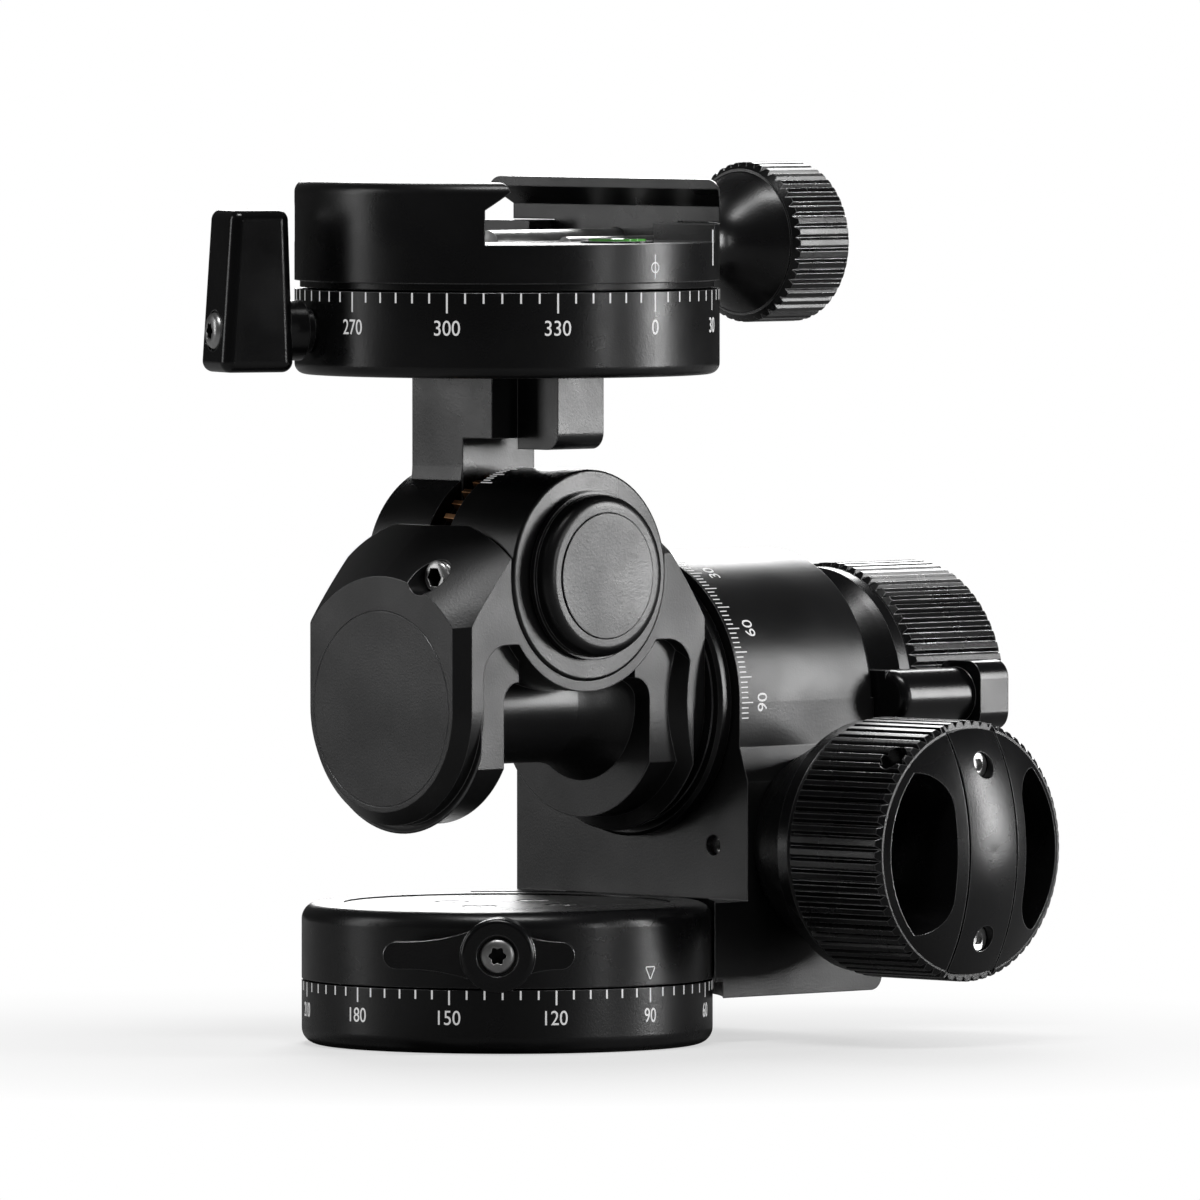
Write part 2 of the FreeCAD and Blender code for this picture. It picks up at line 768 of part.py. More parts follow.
def knob_body(bell):
    """The ribbed knob with its bell, made about Z from the flange up."""
    ribbed = star(knob_ribs, knob_r, rib_depth, rib_start, rib_end)
    limit = chamfered_disc(knob_r, rib_chamfer, rib_start, rib_end)
    ribbed = ribbed.common(limit)
    rim = knob_r - 0.6
    flange = turned([(-bell, 0), (-bell, bell_r0), (-0.6, rim - 0.8), (0.3, rim), (flange_t - 0.5, rim),
                     (flange_t, rim - 0.5), (flange_t, 0)], "z", 0, 0)
    body = fuse(flange, ribbed, dome_blank(land_r))
    body = body.cut(block(-strap_w / 2 - strap_gap, strap_w / 2 + strap_gap, -land_r - 2, land_r + 2,
                          rib_end - 0.6, dome_top + 1))
    slot = block(-strap_w / 2 - strap_gap, strap_w / 2 + strap_gap, -land_r + 1.6, land_r - 1.6,
                 slot_floor, dome_top + 1)
    body = body.cut(slot)
    wall = rod("z", 0, 0, land_r - 1.0, 0, dome_top + 1)
    for side in (-1, 1):
        pocket = stadium(pocket_w, pocket_h, side * pocket_off, dome_top - pocket_depth, dome_top + 1)
        body = body.cut(pocket.common(wall))
    return body


def knob_hollow(body, bell, shaft_r, inner_r, depth):
    """Bore a knob for its shaft and hollow its bell."""
    body = body.cut(rod("z", 0, 0, shaft_r, -bell, rib_start + 6.0))
    return body.cut(rod("z", 0, 0, inner_r, -bell, -bell + depth))


def strap_screw_places():
    """Where the two small screws of the strap sit, across the knob."""
    return (-strap_screw_y, strap_screw_y)


def knob_strap():
    """The strap between the finger pockets."""
    inner = block(-strap_w / 2, strap_w / 2, -land_r + 1.8, land_r - 1.8, slot_floor, rib_end)
    outer = block(-strap_w / 2, strap_w / 2, -land_r - 2, land_r + 2, rib_end - 0.5, dome_top + 1)
    strap = fuse(inner, outer).common(dome_blank(land_r))
    for y in strap_screw_places():
        strap = strap.cut(rod("z", 0, y, 1.9, rib_end + strap_seat, dome_top + 1))
    return strap


def strap_screws():
    """The two small screws of the strap."""
    made = []
    for y in strap_screw_places():
        head = rod("z", 0, y, 1.8, rib_end + strap_seat, rib_end + 1.5)
        made.append(head.cut(hexagon("z", 0, y, 1.0, rib_end + 0.9, rib_end + 2)))
    return group(made)


def knob_place(name, shape):
    """Put a knob piece on the tilt or the roll drive."""
    if name == "tilt":
        return turn_to(shape, V(0, 1, 0), V(1, 0, 0), V(frame_x1 + seam_gap + tilt_bell, wheel_y, worm_z))
    return turn_to(shape, V(-1, 0, 0), V(0, 1, 0), V(0, roll_knob_y, axis1_z))


def tilt_knob():
    """The knob of the tilt drive."""
    body = knob_hollow(knob_body(tilt_bell), tilt_bell, worm_core_r, 10.0, 6.0)
    angle = 180.0 - 47.6
    hole = rod("x", 0, rib_end - 3.2, 2.2, knob_r - 3.4, knob_r + 1)
    hole.rotate(V(0, 0, 0), V(0, 0, 1), angle)
    return knob_place("tilt", body.cut(hole))


def roll_knob():
    """The knob of the roll drive."""
    body = knob_hollow(knob_body(roll_bell), roll_bell, worm_core_r, tilt_shaft_r + 3.6, 3.4)
    return knob_place("roll", body)


# Bridge that carries the roll gear
def bridge_blank():
    """The turned and milled outer form: cones above, a rounded base below."""
    fall = bridge_high_r - bridge_rear_r
    cone_y = bridge_y0 + bridge_cone_len
    high = turned([(bridge_y0, 0), (bridge_y0, bridge_face_r), (cone_y, bridge_high_r),
                   (bridge_y1 - fall, bridge_high_r), (bridge_y1, bridge_rear_r), (bridge_y1, 0)],
                  "y", 0, axis1_z)
    low = turned([(bridge_y0, 0), (bridge_y0, bridge_half - bridge_low_edge),
                  (bridge_y0 + bridge_low_edge, bridge_half), (bridge_y1, bridge_half), (bridge_y1, 0)],
                 "y", 0, axis1_z)
    side = bridge_half - bridge_low_edge
    y_edge = bridge_y0 + bridge_low_edge
    corners = [V(-side, bridge_y0, 0), V(-bridge_half, y_edge, 0), V(-bridge_half, bridge_y1, 0)]
    corners += [V(bridge_half, bridge_y1, 0), V(bridge_half, y_edge, 0), V(side, bridge_y0, 0)]
    outline = Part.Face(Part.makePolygon(corners + corners[:1]))
    outline.translate(V(0, 0, axis1_z))
    upper_half = outline.extrude(V(0, 0, bridge_top_z - axis1_z))
    return fuse(high.common(upper_half), low)


def arch(side):
    """The tall pocket with a round top on one side of the cradle."""
    y = side * pocket_arch_y
    r = pocket_arch_r
    low = block(-30, 30, y - r, y + r, axis1_z - 30, pocket_arch_z)
    whole = fuse(low, rod("x", y, pocket_arch_z, r, -30, 30))
    inner_y = side * (step_wall_y - step_arch_r)
    far_y = side * 40
    wall = block(-step_x, step_x, min(inner_y, far_y), max(inner_y, far_y), 0, 100)
    return whole.cut(wall.cut(arch_inner(side)))


def arch_inner(side):
    """The smaller pocket between the thick middles of the end walls."""
    y = side * (step_wall_y - step_arch_r)
    low = block(-step_x, step_x, y - step_arch_r, y + step_arch_r, 0, step_arch_z)
    return fuse(low, rod("x", y, step_arch_z, step_arch_r, -step_x, step_x))


def bridge_core():
    """The turned tube of the worm, flaring into both end walls."""
    front = -pocket_arch_y - pocket_arch_r
    rear = pocket_arch_y + pocket_arch_r
    points = [V(0, front - 0.5, 0), V(0, front - 0.5, bridge_face_r - 1)]
    flare_front = Part.Arc(V(0, front - 0.5, bridge_face_r - 1), V(0, front + 2.6, core_r + 3.0),
                           V(0, front + 9.0, core_r))
    flare_rear = Part.Arc(V(0, 6.0, core_r), V(0, rear - 5.2, core_r + 3.6), V(0, rear + 0.5, bridge_face_r))
    lines = [Part.LineSegment(points[0], points[1])]
    lines.append(flare_front)
    lines.append(Part.LineSegment(V(0, front + 9.0, core_r), V(0, 6.0, core_r)))
    lines.append(flare_rear)
    lines.append(Part.LineSegment(V(0, rear + 0.5, bridge_face_r), V(0, rear + 0.5, 0)))
    lines.append(Part.LineSegment(V(0, rear + 0.5, 0), points[0]))
    face = Part.Face(Part.Wire([line.toShape() for line in lines]))
    core = face.revolve(V(0, 0, 0), V(0, 1, 0), 360)
    core.translate(V(0, 0, axis1_z))
    return core.common(block(-bridge_half, bridge_half, -30, 30, 0, axis2_z))


def bridge():
    """The bridge: two end walls, a cradle and the worm's tube."""
    body = bridge_blank()
    under = block(-30, 30, -pocket_arch_y, pocket_arch_y, axis1_z - 30, pocket_arch_z + pocket_arch_r)
    for side in (-1, 1):
        edges = sorted((side * (step_wall_y - step_arch_r), side * 40))
        filled = block(-step_x, step_x, edges[0], edges[1], 0, 100)
        under = under.cut(filled.cut(arch_inner(side)))
    under = under.cut(rod("x", 0, axis2_z, barrel_r + cradle_wall, -30, 30))
    body = body.cut(fuse(under, arch(-1), arch(1)))
    body = fuse(body, bridge_core())
    body = body.cut(rod("x", 0, axis2_z, barrel_r, barrel_x0 - 0.35, bridge_half))
    body = body.cut(rod("x", 0, axis2_z, barrel_r + 0.5, -30, barrel_x0 - 0.35))
    body = body.cut(block(-30, barrel_x0 - 0.35, -barrel_r - 0.5, barrel_r + 0.5, axis2_z, 100))
    body = body.cut(block(-30, 30, -barrel_r, barrel_r, axis2_z, 100))
    body = body.cut(rod("y", 0, axis1_z, roll_bore_r, bridge_y0, bridge_y1))
    body = body.cut(rod("y", 0, axis1_z, front_cap_r + 0.05, bridge_y0, bridge_y0 + front_cap_t))
    for x, z in rotor_screw_places():
        body = body.cut(rod("y", x, z, rotor_thread_r + 0.05, bridge_y1 - rotor_thread_len - 0.5, bridge_y1))
    body = body.cut(lash_hole())
    return clean(body)


def lash_hole():
    """The threaded hole of the lash screw, open to the front cone."""
    return rod("y", lash_x, axis2_z, lash_r + 0.05, bridge_y0 - 1.0, lash_y0 + lash_len + 0.6)


def lash_screw():
    """The bright set screw on the front cone."""
    body = turned([(lash_y0, 0), (lash_y0, lash_r - lash_edge), (lash_y0 + lash_edge, lash_r),
                   (lash_y0 + lash_len, lash_r), (lash_y0 + lash_len, 0)], "y", lash_x, axis2_z)
    return body.cut(hexagon("y", lash_x, axis2_z, 1.45, lash_y0, lash_y0 + 2.6))


def front_cap():
    """The round cap that closes the worm's bore."""
    return rod("y", 0, axis1_z, front_cap_r, bridge_y0, bridge_y0 + front_cap_t)


def rotor_screw_places():
    """Where the screws between the rotor and the bridge sit."""
    return ring_of(4, 0, axis1_z, rotor_screw_ring, lambda x, z: (x, z))


def rotor_screws():
    """Four screws between the rotor's flange and the bridge."""
    made = []
    for x, z in rotor_screw_places():
        made.append(socket_screw("y", x, z, rotor_head_r, rotor_back, rotor_back - rotor_head_t, rotor_thread_r,
                                 bridge_y1 - rotor_thread_len))
    return group(made)


def roll_worm():
    """The roll worm with the long shaft to the rear knob."""
    thread = worm_thread(roll_pitch, roll_worm_pitch_r, roll_worm_len)
    phase = 360.0 * (roll_worm_len / 2 % roll_pitch) / roll_pitch
    thread.rotate(V(0, 0, 0), V(0, 0, 1), -phase)
    worm = turn_to(thread, V(0, 0, 1), V(0, 1, 0), V(0, 0, axis1_z))
    shaft = rod("y", 0, axis1_z, worm_core_r, -roll_bush_out - 0.2, roll_knob_y + flange_t + 4.0)
    return worm.fuse(shaft)


def roll_bushes():
    """The two bushes of the roll worm."""
    made = []
    for start, end in ((-roll_bush_out, -roll_bush_in), (roll_bush_in, roll_bush_out)):
        made.append(tube("y", 0, axis1_z, worm_core_r + running_gap, roll_bore_r, start, end))
    return group(made)


def roll_wheel():
    """The bronze wheel on the arm's hub."""
    width = roll_wheel_x1 - roll_wheel_x0
    wheel = worm_wheel(roll_teeth, roll_pitch_r, width, axle_r, -roll_lead)
    middle = (roll_wheel_x0 + roll_wheel_x1) / 2
    return turn_to(wheel, V(0, 0, -1), V(1, 0, 0), V(middle, 0, axis2_z))


def roll_barrel():
    """The barrel that carries the roll axle in the cradle."""
    body = rod("x", 0, axis2_z, barrel_r, barrel_x0, barrel_x1)
    body = rounded(body, "x", barrel_r, barrel_x1, 0.5)
    body = body.cut(rod("x", 0, axis2_z, axle_r + bush_wall, barrel_x0, barrel_x1))
    recess_r = roll_pitch_r + tooth_add + 0.2
    body = body.cut(rod("x", 0, axis2_z, recess_r, barrel_x0, roll_wheel_x1 + 0.3))
    return body.cut(rod("y", 0, axis1_z, roll_bore_r, -30, 30))


def roll_axle_bush():
    """The bush of the roll axle."""
    return tube("x", 0, axis2_z, axle_r + running_gap, axle_r + bush_wall, roll_wheel_x1 + 0.5,
                barrel_x1)


def roll_axle():
    """The steel axle from the arm's hub to the boss."""
    return rod("x", 0, axis2_z, axle_r, hub_x0 + 1.5, barrel_x1 + 2.0)


def axle_boss():
    """The stepped boss on the axle's end."""
    x0 = boss_x0
    step = x0 + 0.8
    body = turned([(x0, 0), (x0, boss_r), (step, boss_r), (step, boss_r - 0.5), (x0 + boss_t, boss_r - 0.5),
                   (x0 + boss_t, 0)], "x", 0, axis2_z)
    body = rounded(body, "x", boss_r - 0.5, x0 + boss_t, 1.6)
    body = body.cut(rod("x", 0, axis2_z, axle_r, x0, barrel_x1 + 2.0))
    return body.cut(rod("x", 0, axis2_z, axle_cap_r + 0.1, x0 + boss_seat, x0 + 4))


def axle_cap():
    """The flat cap in the boss."""
    return rod("x", 0, axis2_z, axle_cap_r, boss_x0 + boss_seat, boss_x0 + 3.5)


# Arm that carries the top
def arm():
    """The arm from the roll axle up to the top dial."""
    hub = rod("x", 0, axis2_z, barrel_r, hub_x0, hub_low_x)
    rim = rod("x", 0, axis2_z, barrel_r, hub_low_x, hub_step_x)
    rim = rim.common(block(hub_low_x, hub_step_x, -barrel_r, barrel_r, axis2_z - hub_rim_drop, top_dial_z))
    step = rod("x", 0, axis2_z, hub_small_r, hub_low_x, roll_wheel_x0)
    neck = block(arm_x0, neck_x1, -arm_half, arm_half, axis2_z, top_dial_z)
    upper = block(arm_x0, block_mid_x, -arm_half, arm_half, block_z0 + 1.6, top_dial_z)
    ledge = block(block_mid_x, block_x1, block_back_y, arm_half, block_z0, top_dial_z)
    corner = [V(block_x1, y, block_z0) for y in (block_back_y, arm_half)]
    ledge = ledge.makeFillet(2.4, [e for e in ledge.Edges if on_line(e, corner[0], corner[1])])
    body = fuse(hub, rim, step, neck, upper, ledge, arm_flare(-1), arm_flare(1))
    body = body.cut(rod("x", 0, axis2_z, axle_r, hub_x0, 0))
    for a, b in arm_screw_places():
        body = body.cut(rod("z", a, b, arm_thread_r, top_dial_z - 7, top_dial_z))
    return body


def arm_flare(side):
    """The concave flare between the neck and the hub."""
    y0 = side * arm_half
    y1 = side * barrel_r * 0.93
    z1 = axis2_z + barrel_r * 0.37
    z2 = axis2_z + 15.5
    x0, x1 = arm_x0, hub_step_x
    arc = Part.Arc(V(x0, y0, z2), V(x0, y0 + side * 1.9, axis2_z + 9.6), V(x0, y1, z1))
    lines = [Part.LineSegment(V(x0, y1, z1), V(x0, 0, z1)), Part.LineSegment(V(x0, 0, z1), V(x0, 0, z2))]
    lines.append(Part.LineSegment(V(x0, 0, z2), V(x0, y0, z2)))
    edges = [arc.toShape()] + [line.toShape() for line in lines]
    face = Part.Face(Part.Wire(Part.__sortEdges__(edges)))
    return face.extrude(V(x1 - x0, 0, 0))


def arm_screw_places():
    """The screws between the arm and the top's floor plate."""
    return ((-8.5, 0.0), (0.0, 3.5), (8.5, 3.5))


# Top dial, its bearing and the clamp


def top_dial():
    """The fixed upper dial."""
    body = rod("z", 0, 0, top_r, top_dial_z, top_dial_z + top_dial_h)
    body = rounded(body, "z", top_r, top_dial_z, 1.6)
    body = body.cut(rod("z", 0, 0, pan_hub_r + running_gap, top_dial_z, top_dial_z + top_dial_h))
    body = body.cut(rod("z", 0, 0, pan_hub_r + washer_w + 0.2, top_dial_z, top_ledge_z))
    body = body.cut(rod("z", 0, 0, cover_r, top_dial_z, top_dial_z + floor_t))
    return body.cut(around(top_lock_azimuth, lock_hole(top_lock_z, pan_hub_r - 1, top_r + 1)))


def dial_floor():
    """The floor plate that the arm is screwed to."""
    plate = rod("z", 0, 0, cover_r, top_dial_z, top_dial_z + floor_t)
    for a, b in arm_screw_places():
        plate = plate.cut(rod("z", a, b, arm_head_r + 0.1, top_dial_z + 0.7, top_dial_z + floor_t))
        plate = plate.cut(rod("z", a, b, arm_thread_r, top_dial_z, top_dial_z + 1))
    return plate


def arm_screws():
    """Three screws from the floor plate into the arm."""
    made = []
    for a, b in arm_screw_places():
        head = rod("z", a, b, arm_head_r, top_dial_z + 0.7, top_dial_z + floor_t - 0.1)
        shank = rod("z", a, b, arm_thread_r - 0.05, top_dial_z - 6.5, top_dial_z + 0.7)
        made.append(fuse(head, shank))
    return group(made)


def top_retainer():
    """The disc under the clamp's hub."""
    return rod("z", 0, 0, pan_hub_r + washer_w, top_hub_z - retainer_t, top_hub_z)


def top_washer():
    """The low-friction washer above the retainer."""
    return tube("z", 0, 0, pan_hub_r + 0.2, pan_hub_r + washer_w, top_hub_z + 0.05, top_ledge_z - 0.05)


def dovetail_channel():
    """What the plate's channel takes from the clamp, with its slanting near side."""
    back_y = near_lip_y - dovetail_depth
    inner_y = near_lip_y + 5
    slope_z = undercut_z + dovetail_depth
    under = [V(-40, back_y, undercut_z), V(-40, near_lip_y, slope_z)]
    under += [V(-40, inner_y, slope_z), V(-40, inner_y, undercut_z)]
    wedge = Part.Face(Part.makePolygon(under + under[:1])).extrude(V(80, 0, 0))
    floor = block(-40, 40, back_y, jaw_lip_y - 2.5, channel_z, far_rim_z + 0.1)
    side = block(-40, 40, back_y, inner_y, channel_z, undercut_z)
    return fuse(floor, wedge, side)


def clamp_body():
    """The clamp's turning body with the fixed jaw."""
    disc = rod("z", 0, 0, top_r, clamp_z0, clamp_z1)
    disc = rounded(disc, "z", top_r, clamp_z1, 1.8)
    hub = rod("z", 0, 0, pan_hub_r, top_hub_z, clamp_z0)
    lower_lip = rod("z", 0, 0, top_r - clamp_lip_in, clamp_z0 - clamp_gap + seam_gap, clamp_z0)
    body = fuse(disc, lower_lip, hub)
    body = body.cut(block(-40, 40, near_lip_y, 40, far_rim_z, clamp_z1 + 1))
    body = body.cut(dovetail_channel())
    guide = block(-tongue_half - slide_gap, tongue_half + slide_gap, tongue_y0 - 5.0, 40,
                  tongue_z0 - slide_gap, far_rim_z + 1)
    body = body.cut(guide)
    body = body.cut(rod("y", 0, clamp_screw_z, clamp_screw_r + 0.2, -12, 40))
    for x in (-pin_x, pin_x):
        body = body.cut(rod("y", x, clamp_screw_z, pin_r + running_gap, -4, 20))
    body = body.cut(rod("z", vial_x, vial_y, vial_r + bezel_w + 0.1, channel_z - 2.0, channel_z + 1))
    return clean(body)


def clamp_jaw():
    """The sliding jaw with its tongue in the body."""
    segment = rod("z", 0, 0, top_r, far_rim_z + slide_gap, clamp_z1)
    segment = rounded(segment, "z", top_r, clamp_z1, 1.8)
    segment = segment.common(block(-40, 40, jaw_lip_y, 40, 0, 200))
    inner_y = jaw_lip_y - 1
    back_y = jaw_lip_y + dovetail_depth
    slope_z = undercut_z + dovetail_depth
    under = [V(-40, inner_y, far_rim_z), V(-40, back_y, far_rim_z), V(-40, back_y, undercut_z)]
    under += [V(-40, jaw_lip_y, slope_z), V(-40, inner_y, slope_z)]
    wedge = Part.Face(Part.makePolygon(under + under[:1])).extrude(V(80, 0, 0))
    segment = segment.cut(wedge)
    tongue = block(-tongue_half, tongue_half, jaw_lip_y + dovetail_depth, tongue_y1, tongue_z0, far_rim_z + 1)
    body = fuse(segment, tongue)
    body = body.cut(rod("y", 0, clamp_screw_z, clamp_screw_r + running_gap, 0, 40))
    for x in (-pin_x, pin_x):
        body = body.cut(rod("y", x, clamp_screw_z, pin_r, 0, pin_y1))
    return clean(body)


def guide_pins():
    """Two pins that keep the jaw square."""
    return group([rod("y", x, clamp_screw_z, pin_r, pin_y0, pin_y1) for x in (-pin_x, pin_x)])


def clamp_screw():
    """The clamp's screw."""
    return rod("y", 0, clamp_screw_z, clamp_screw_r, -4.0, clamp_knob_y0 + 6.0)


def clamp_knob():
    """The small ribbed knob with its waisted neck."""
    ribbed = star(clamp_knob_ribs, clamp_knob_r, 0.6, clamp_knob_y0, clamp_knob_y1)
    ribbed = ribbed.common(chamfered_disc(clamp_knob_r, 1.0, clamp_knob_y0, clamp_knob_y1))
    neck = Part.BSplineCurve()
    shape = [(clamp_neck_y, 5.2), (clamp_neck_y + 1.6, 5.0), (39.5, 4.9), (42.5, 6.2), (45.5, 8.8),
             (clamp_knob_y0 + 0.2, 10.6)]
    neck.interpolate([V(r, 0, t) for t, r in shape])
    first, last = shape[0], shape[-1]
    lines = [Part.LineSegment(V(last[1], 0, last[0]), V(0, 0, last[0]))]
    lines.append(Part.LineSegment(V(0, 0, last[0]), V(0, 0, first[0])))
    lines.append(Part.LineSegment(V(0, 0, first[0]), V(first[1], 0, first[0])))
    edges = [neck.toShape()] + [line.toShape() for line in lines]
    solid = Part.Face(Part.Wire(Part.__sortEdges__(edges))).revolve(V(0, 0, 0), V(0, 0, 1), 360)
    journal = rod("z", 0, 0, clamp_journal_r, tongue_y1 + 0.1, clamp_neck_y)
    body = fuse(ribbed, solid, journal)
    body = body.cut(rod("z", 0, 0, clamp_screw_r, 20, clamp_knob_y0 + 6.0))
    return turn_to(body, V(-1, 0, 0), V(0, 1, 0), V(0, 0, clamp_screw_z))


def level_vial():
    """The round level's liquid under its window."""
    return rod("z", vial_x, vial_y, vial_r, channel_z - 1.6, channel_z + 0.6)


def level_bezel():
    """The ring round the level."""
    return tube("z", vial_x, vial_y, vial_r, vial_r + bezel_w, channel_z - 1.6, channel_z + 0.3)


# Top lock lever


def top_lever():
    """The upright lock lever of the top dial."""
    z = top_lock_z
    profile = [V(paddle_r0 - 0.4, 0, z - paddle_low), V(paddle_r1, 0, z - paddle_low)]
    profile += [V(paddle_r1 - 1.6, 0, z + paddle_high), V(paddle_r0 + 0.4, 0, z + paddle_high)]
    for point in profile:
        point.y = -paddle_half
    paddle = Part.Face(Part.makePolygon(profile + profile[:1])).extrude(V(0, 2 * paddle_half, 0))
    paddle = paddle.makeFillet(1.6, paddle.Edges)
    boss = rod("x", 0, z, 4.4, top_r + 1.4, paddle_r0 + 1)
    collar = rod("x", 0, z, 3.4, top_r + 0.2, top_r + 1.4)
    body = fuse(paddle, boss, collar)
    body = body.cut(rod("x", 0, z, lock_stem_r, top_r, paddle_r0 + 4))
    body = body.cut(rod("x", 0, z, 3.0, paddle_r1 - 1.0, paddle_r1 + 1))
    return around(top_lock_azimuth, body)


def all_parts():
    """Every sub-part by its name."""
    return {
        "dial_base": dial_base(),
        "mount_bush": mount_bush(),
        "pan_washer": pan_washer(),
        "pan_retainer": pan_retainer(),
        "retainer_screws": retainer_screws(),
        "turntable": turntable(),
        "turntable_cover": turntable_cover(),
        "cover_screws": cover_screws(),
        "pan_brake_pad": pad_at(base_lock_z, pan_hub_r, wing_azimuth),
        "pan_lock_stem": lever_stem(base_lock_z, pan_hub_r, base_r, wing_azimuth, 3.0),
        "pan_wing_lever": wing_lever(),
        "pan_lever_screw": button_screw(base_lock_z, wing_face, button_r, wing_azimuth),
        "frame": frame(),
        "frame_screws": frame_screws(),
        "bush_set_screw": bush_set_screw(),
        "tilt_shaft_bushes": group([tilt_front_bush(), tilt_rear_bush()]),
        "rear_cover": rear_cover(),
        "rear_screws": rear_screws(),
        "tilt_lock_lever": tilt_lock_lever(),
        "tilt_worm_bushes": group([worm_bush_left(), worm_bush_right()]),
        "worm_end_plug": worm_end_plug(),
        "tilt_worm": tilt_worm(),
        "tilt_knob": tilt_knob(),
        "tilt_knob_strap": knob_place("tilt", knob_strap()),
        "tilt_strap_screws": knob_place("tilt", strap_screws()),
        "tilt_rotor": tilt_rotor(),
        "rotor_screws": rotor_screws(),
        "tilt_nut": tilt_nut(),
        "tilt_wheel": tilt_wheel(),
        "bridge": bridge(),
        "front_cap": front_cap(),
        "lash_screw": lash_screw(),
        "roll_worm_bushes": roll_bushes(),
        "roll_barrel": roll_barrel(),
        "roll_axle_bush": roll_axle_bush(),
        "roll_worm": roll_worm(),
        "roll_knob": roll_knob(),
        "roll_knob_strap": knob_place("roll", knob_strap()),
        "roll_strap_screws": knob_place("roll", strap_screws()),
        "roll_axle": roll_axle(),
        "roll_wheel": roll_wheel(),
        "axle_boss": axle_boss(),
        "axle_cap": axle_cap(),
        "arm": arm(),
        "arm_screws": arm_screws(),
        "dial_floor": dial_floor(),
        "top_dial": top_dial(),
        "top_brake_pad": pad_at(top_lock_z, pan_hub_r, top_lock_azimuth),
        "top_lock_stem": lever_stem(top_lock_z, pan_hub_r, top_r, top_lock_azimuth, 8.0),
        "top_lock_lever": top_lever(),
        "top_lever_screw": button_screw(top_lock_z, paddle_r1 - 1.0, button_r, top_lock_azimuth),
        "clamp_body": clamp_body(),
        "top_retainer": top_retainer(),
        "top_washer": top_washer(),
        "level_vial": level_vial(),
        "level_bezel": level_bezel(),
        "clamp_jaw": clamp_jaw(),
        "guide_pins": guide_pins(),
        "clamp_screw": clamp_screw(),
        "clamp_knob": clamp_knob(),
    }


def main():
    """Build every sub-part and write it."""
    os.makedirs("parts", exist_ok=True)
    for name, shape in all_parts().items():
        print(name, len(shape.Solids), "solids", round(shape.Volume, 1), "mm3", shape.isValid())
        shape.exportStep("parts/" + name + ".step")


main()
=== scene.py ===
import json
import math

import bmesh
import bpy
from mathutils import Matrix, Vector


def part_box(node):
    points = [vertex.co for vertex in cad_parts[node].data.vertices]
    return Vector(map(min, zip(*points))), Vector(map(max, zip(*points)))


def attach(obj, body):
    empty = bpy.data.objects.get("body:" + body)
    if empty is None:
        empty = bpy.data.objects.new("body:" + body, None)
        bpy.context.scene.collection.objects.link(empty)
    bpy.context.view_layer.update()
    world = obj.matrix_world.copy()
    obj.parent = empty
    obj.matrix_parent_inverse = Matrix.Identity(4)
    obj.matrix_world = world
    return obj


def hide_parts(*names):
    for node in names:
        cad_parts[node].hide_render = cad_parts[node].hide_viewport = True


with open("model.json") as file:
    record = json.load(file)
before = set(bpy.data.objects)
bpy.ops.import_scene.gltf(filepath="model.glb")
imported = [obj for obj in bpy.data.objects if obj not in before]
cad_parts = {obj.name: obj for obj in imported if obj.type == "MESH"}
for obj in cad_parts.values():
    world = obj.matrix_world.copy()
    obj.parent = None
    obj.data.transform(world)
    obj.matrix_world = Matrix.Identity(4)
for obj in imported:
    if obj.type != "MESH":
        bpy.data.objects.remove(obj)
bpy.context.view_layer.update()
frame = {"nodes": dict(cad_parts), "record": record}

# %% [markdown]
# The object is a geared tripod head: two round dials, a side frame and a bridge
# with worm gears between them, big ribbed knobs, and a clamp on top. Nearly all
# of it is aluminium, bead blasted and anodised black. The solids are already
# there in metres, with Z up, X along the roll axis and Y along the tilt axis.
# What is left for this script is what a camera sees: the finish, the white
# printed scales, the bright screws, the level and the studio.

MM = 0.001

# %% [markdown]
# Scales and screws have to sit exactly on the metal, so the radii, the axes and the
# seams are read from the boxes of the solids instead of being typed in again. A box
# gives a disc's radius as half its width, and an axis as the middle of it. A few
# places that no box gives, such as the height of a number, are named sizes below.


# %% Sizes read from the solids
def middle(node):
    """The middle of a node's box."""
    low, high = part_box(node)
    return (low + high) / 2


def extent(node, axis):
    """The low and the high end of a node along one axis."""
    low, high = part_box(node)
    return low[axis], high[axis]


base_r = extent("dial_base", 0)[1]
top_r = extent("top_dial", 0)[1]
top_seam = extent("top_dial", 2)[1]
tilt_axis_z = middle("tilt_nut").z
roll_axis_z = middle("roll_barrel").z
print("dials:", round(base_r / MM, 2), round(top_r / MM, 2), "mm")
print("tilt axis:", round(tilt_axis_z / MM, 2), "roll axis:", round(roll_axis_z / MM, 2), "mm")

# %% [markdown]
# The camera. The photograph was taken from far away with a long lens: the
# verticals are parallel and both dials show almost edge-on. A 600 mm lens three
# metres off gives the same flat look. Its direction is 46 degrees round from the
# front and 2 degrees up, found from the widths of the two side faces of the
# bridge and from how open the dials' edges look.

# %% Camera
VIEW_AZIMUTH = math.radians(46.0)
VIEW_ELEVATION = math.radians(2.15)
AIM = Vector((9.4, 9.75, 64.65)) * MM
FRAME_WIDTH = 175.0 * MM
LENS = 600.0
SENSOR = 36.0


def towards(azimuth, elevation):
    """The direction from the object to a camera at these angles."""
    flat = math.cos(elevation)
    return Vector((math.sin(azimuth) * flat, -math.cos(azimuth) * flat, math.sin(elevation)))


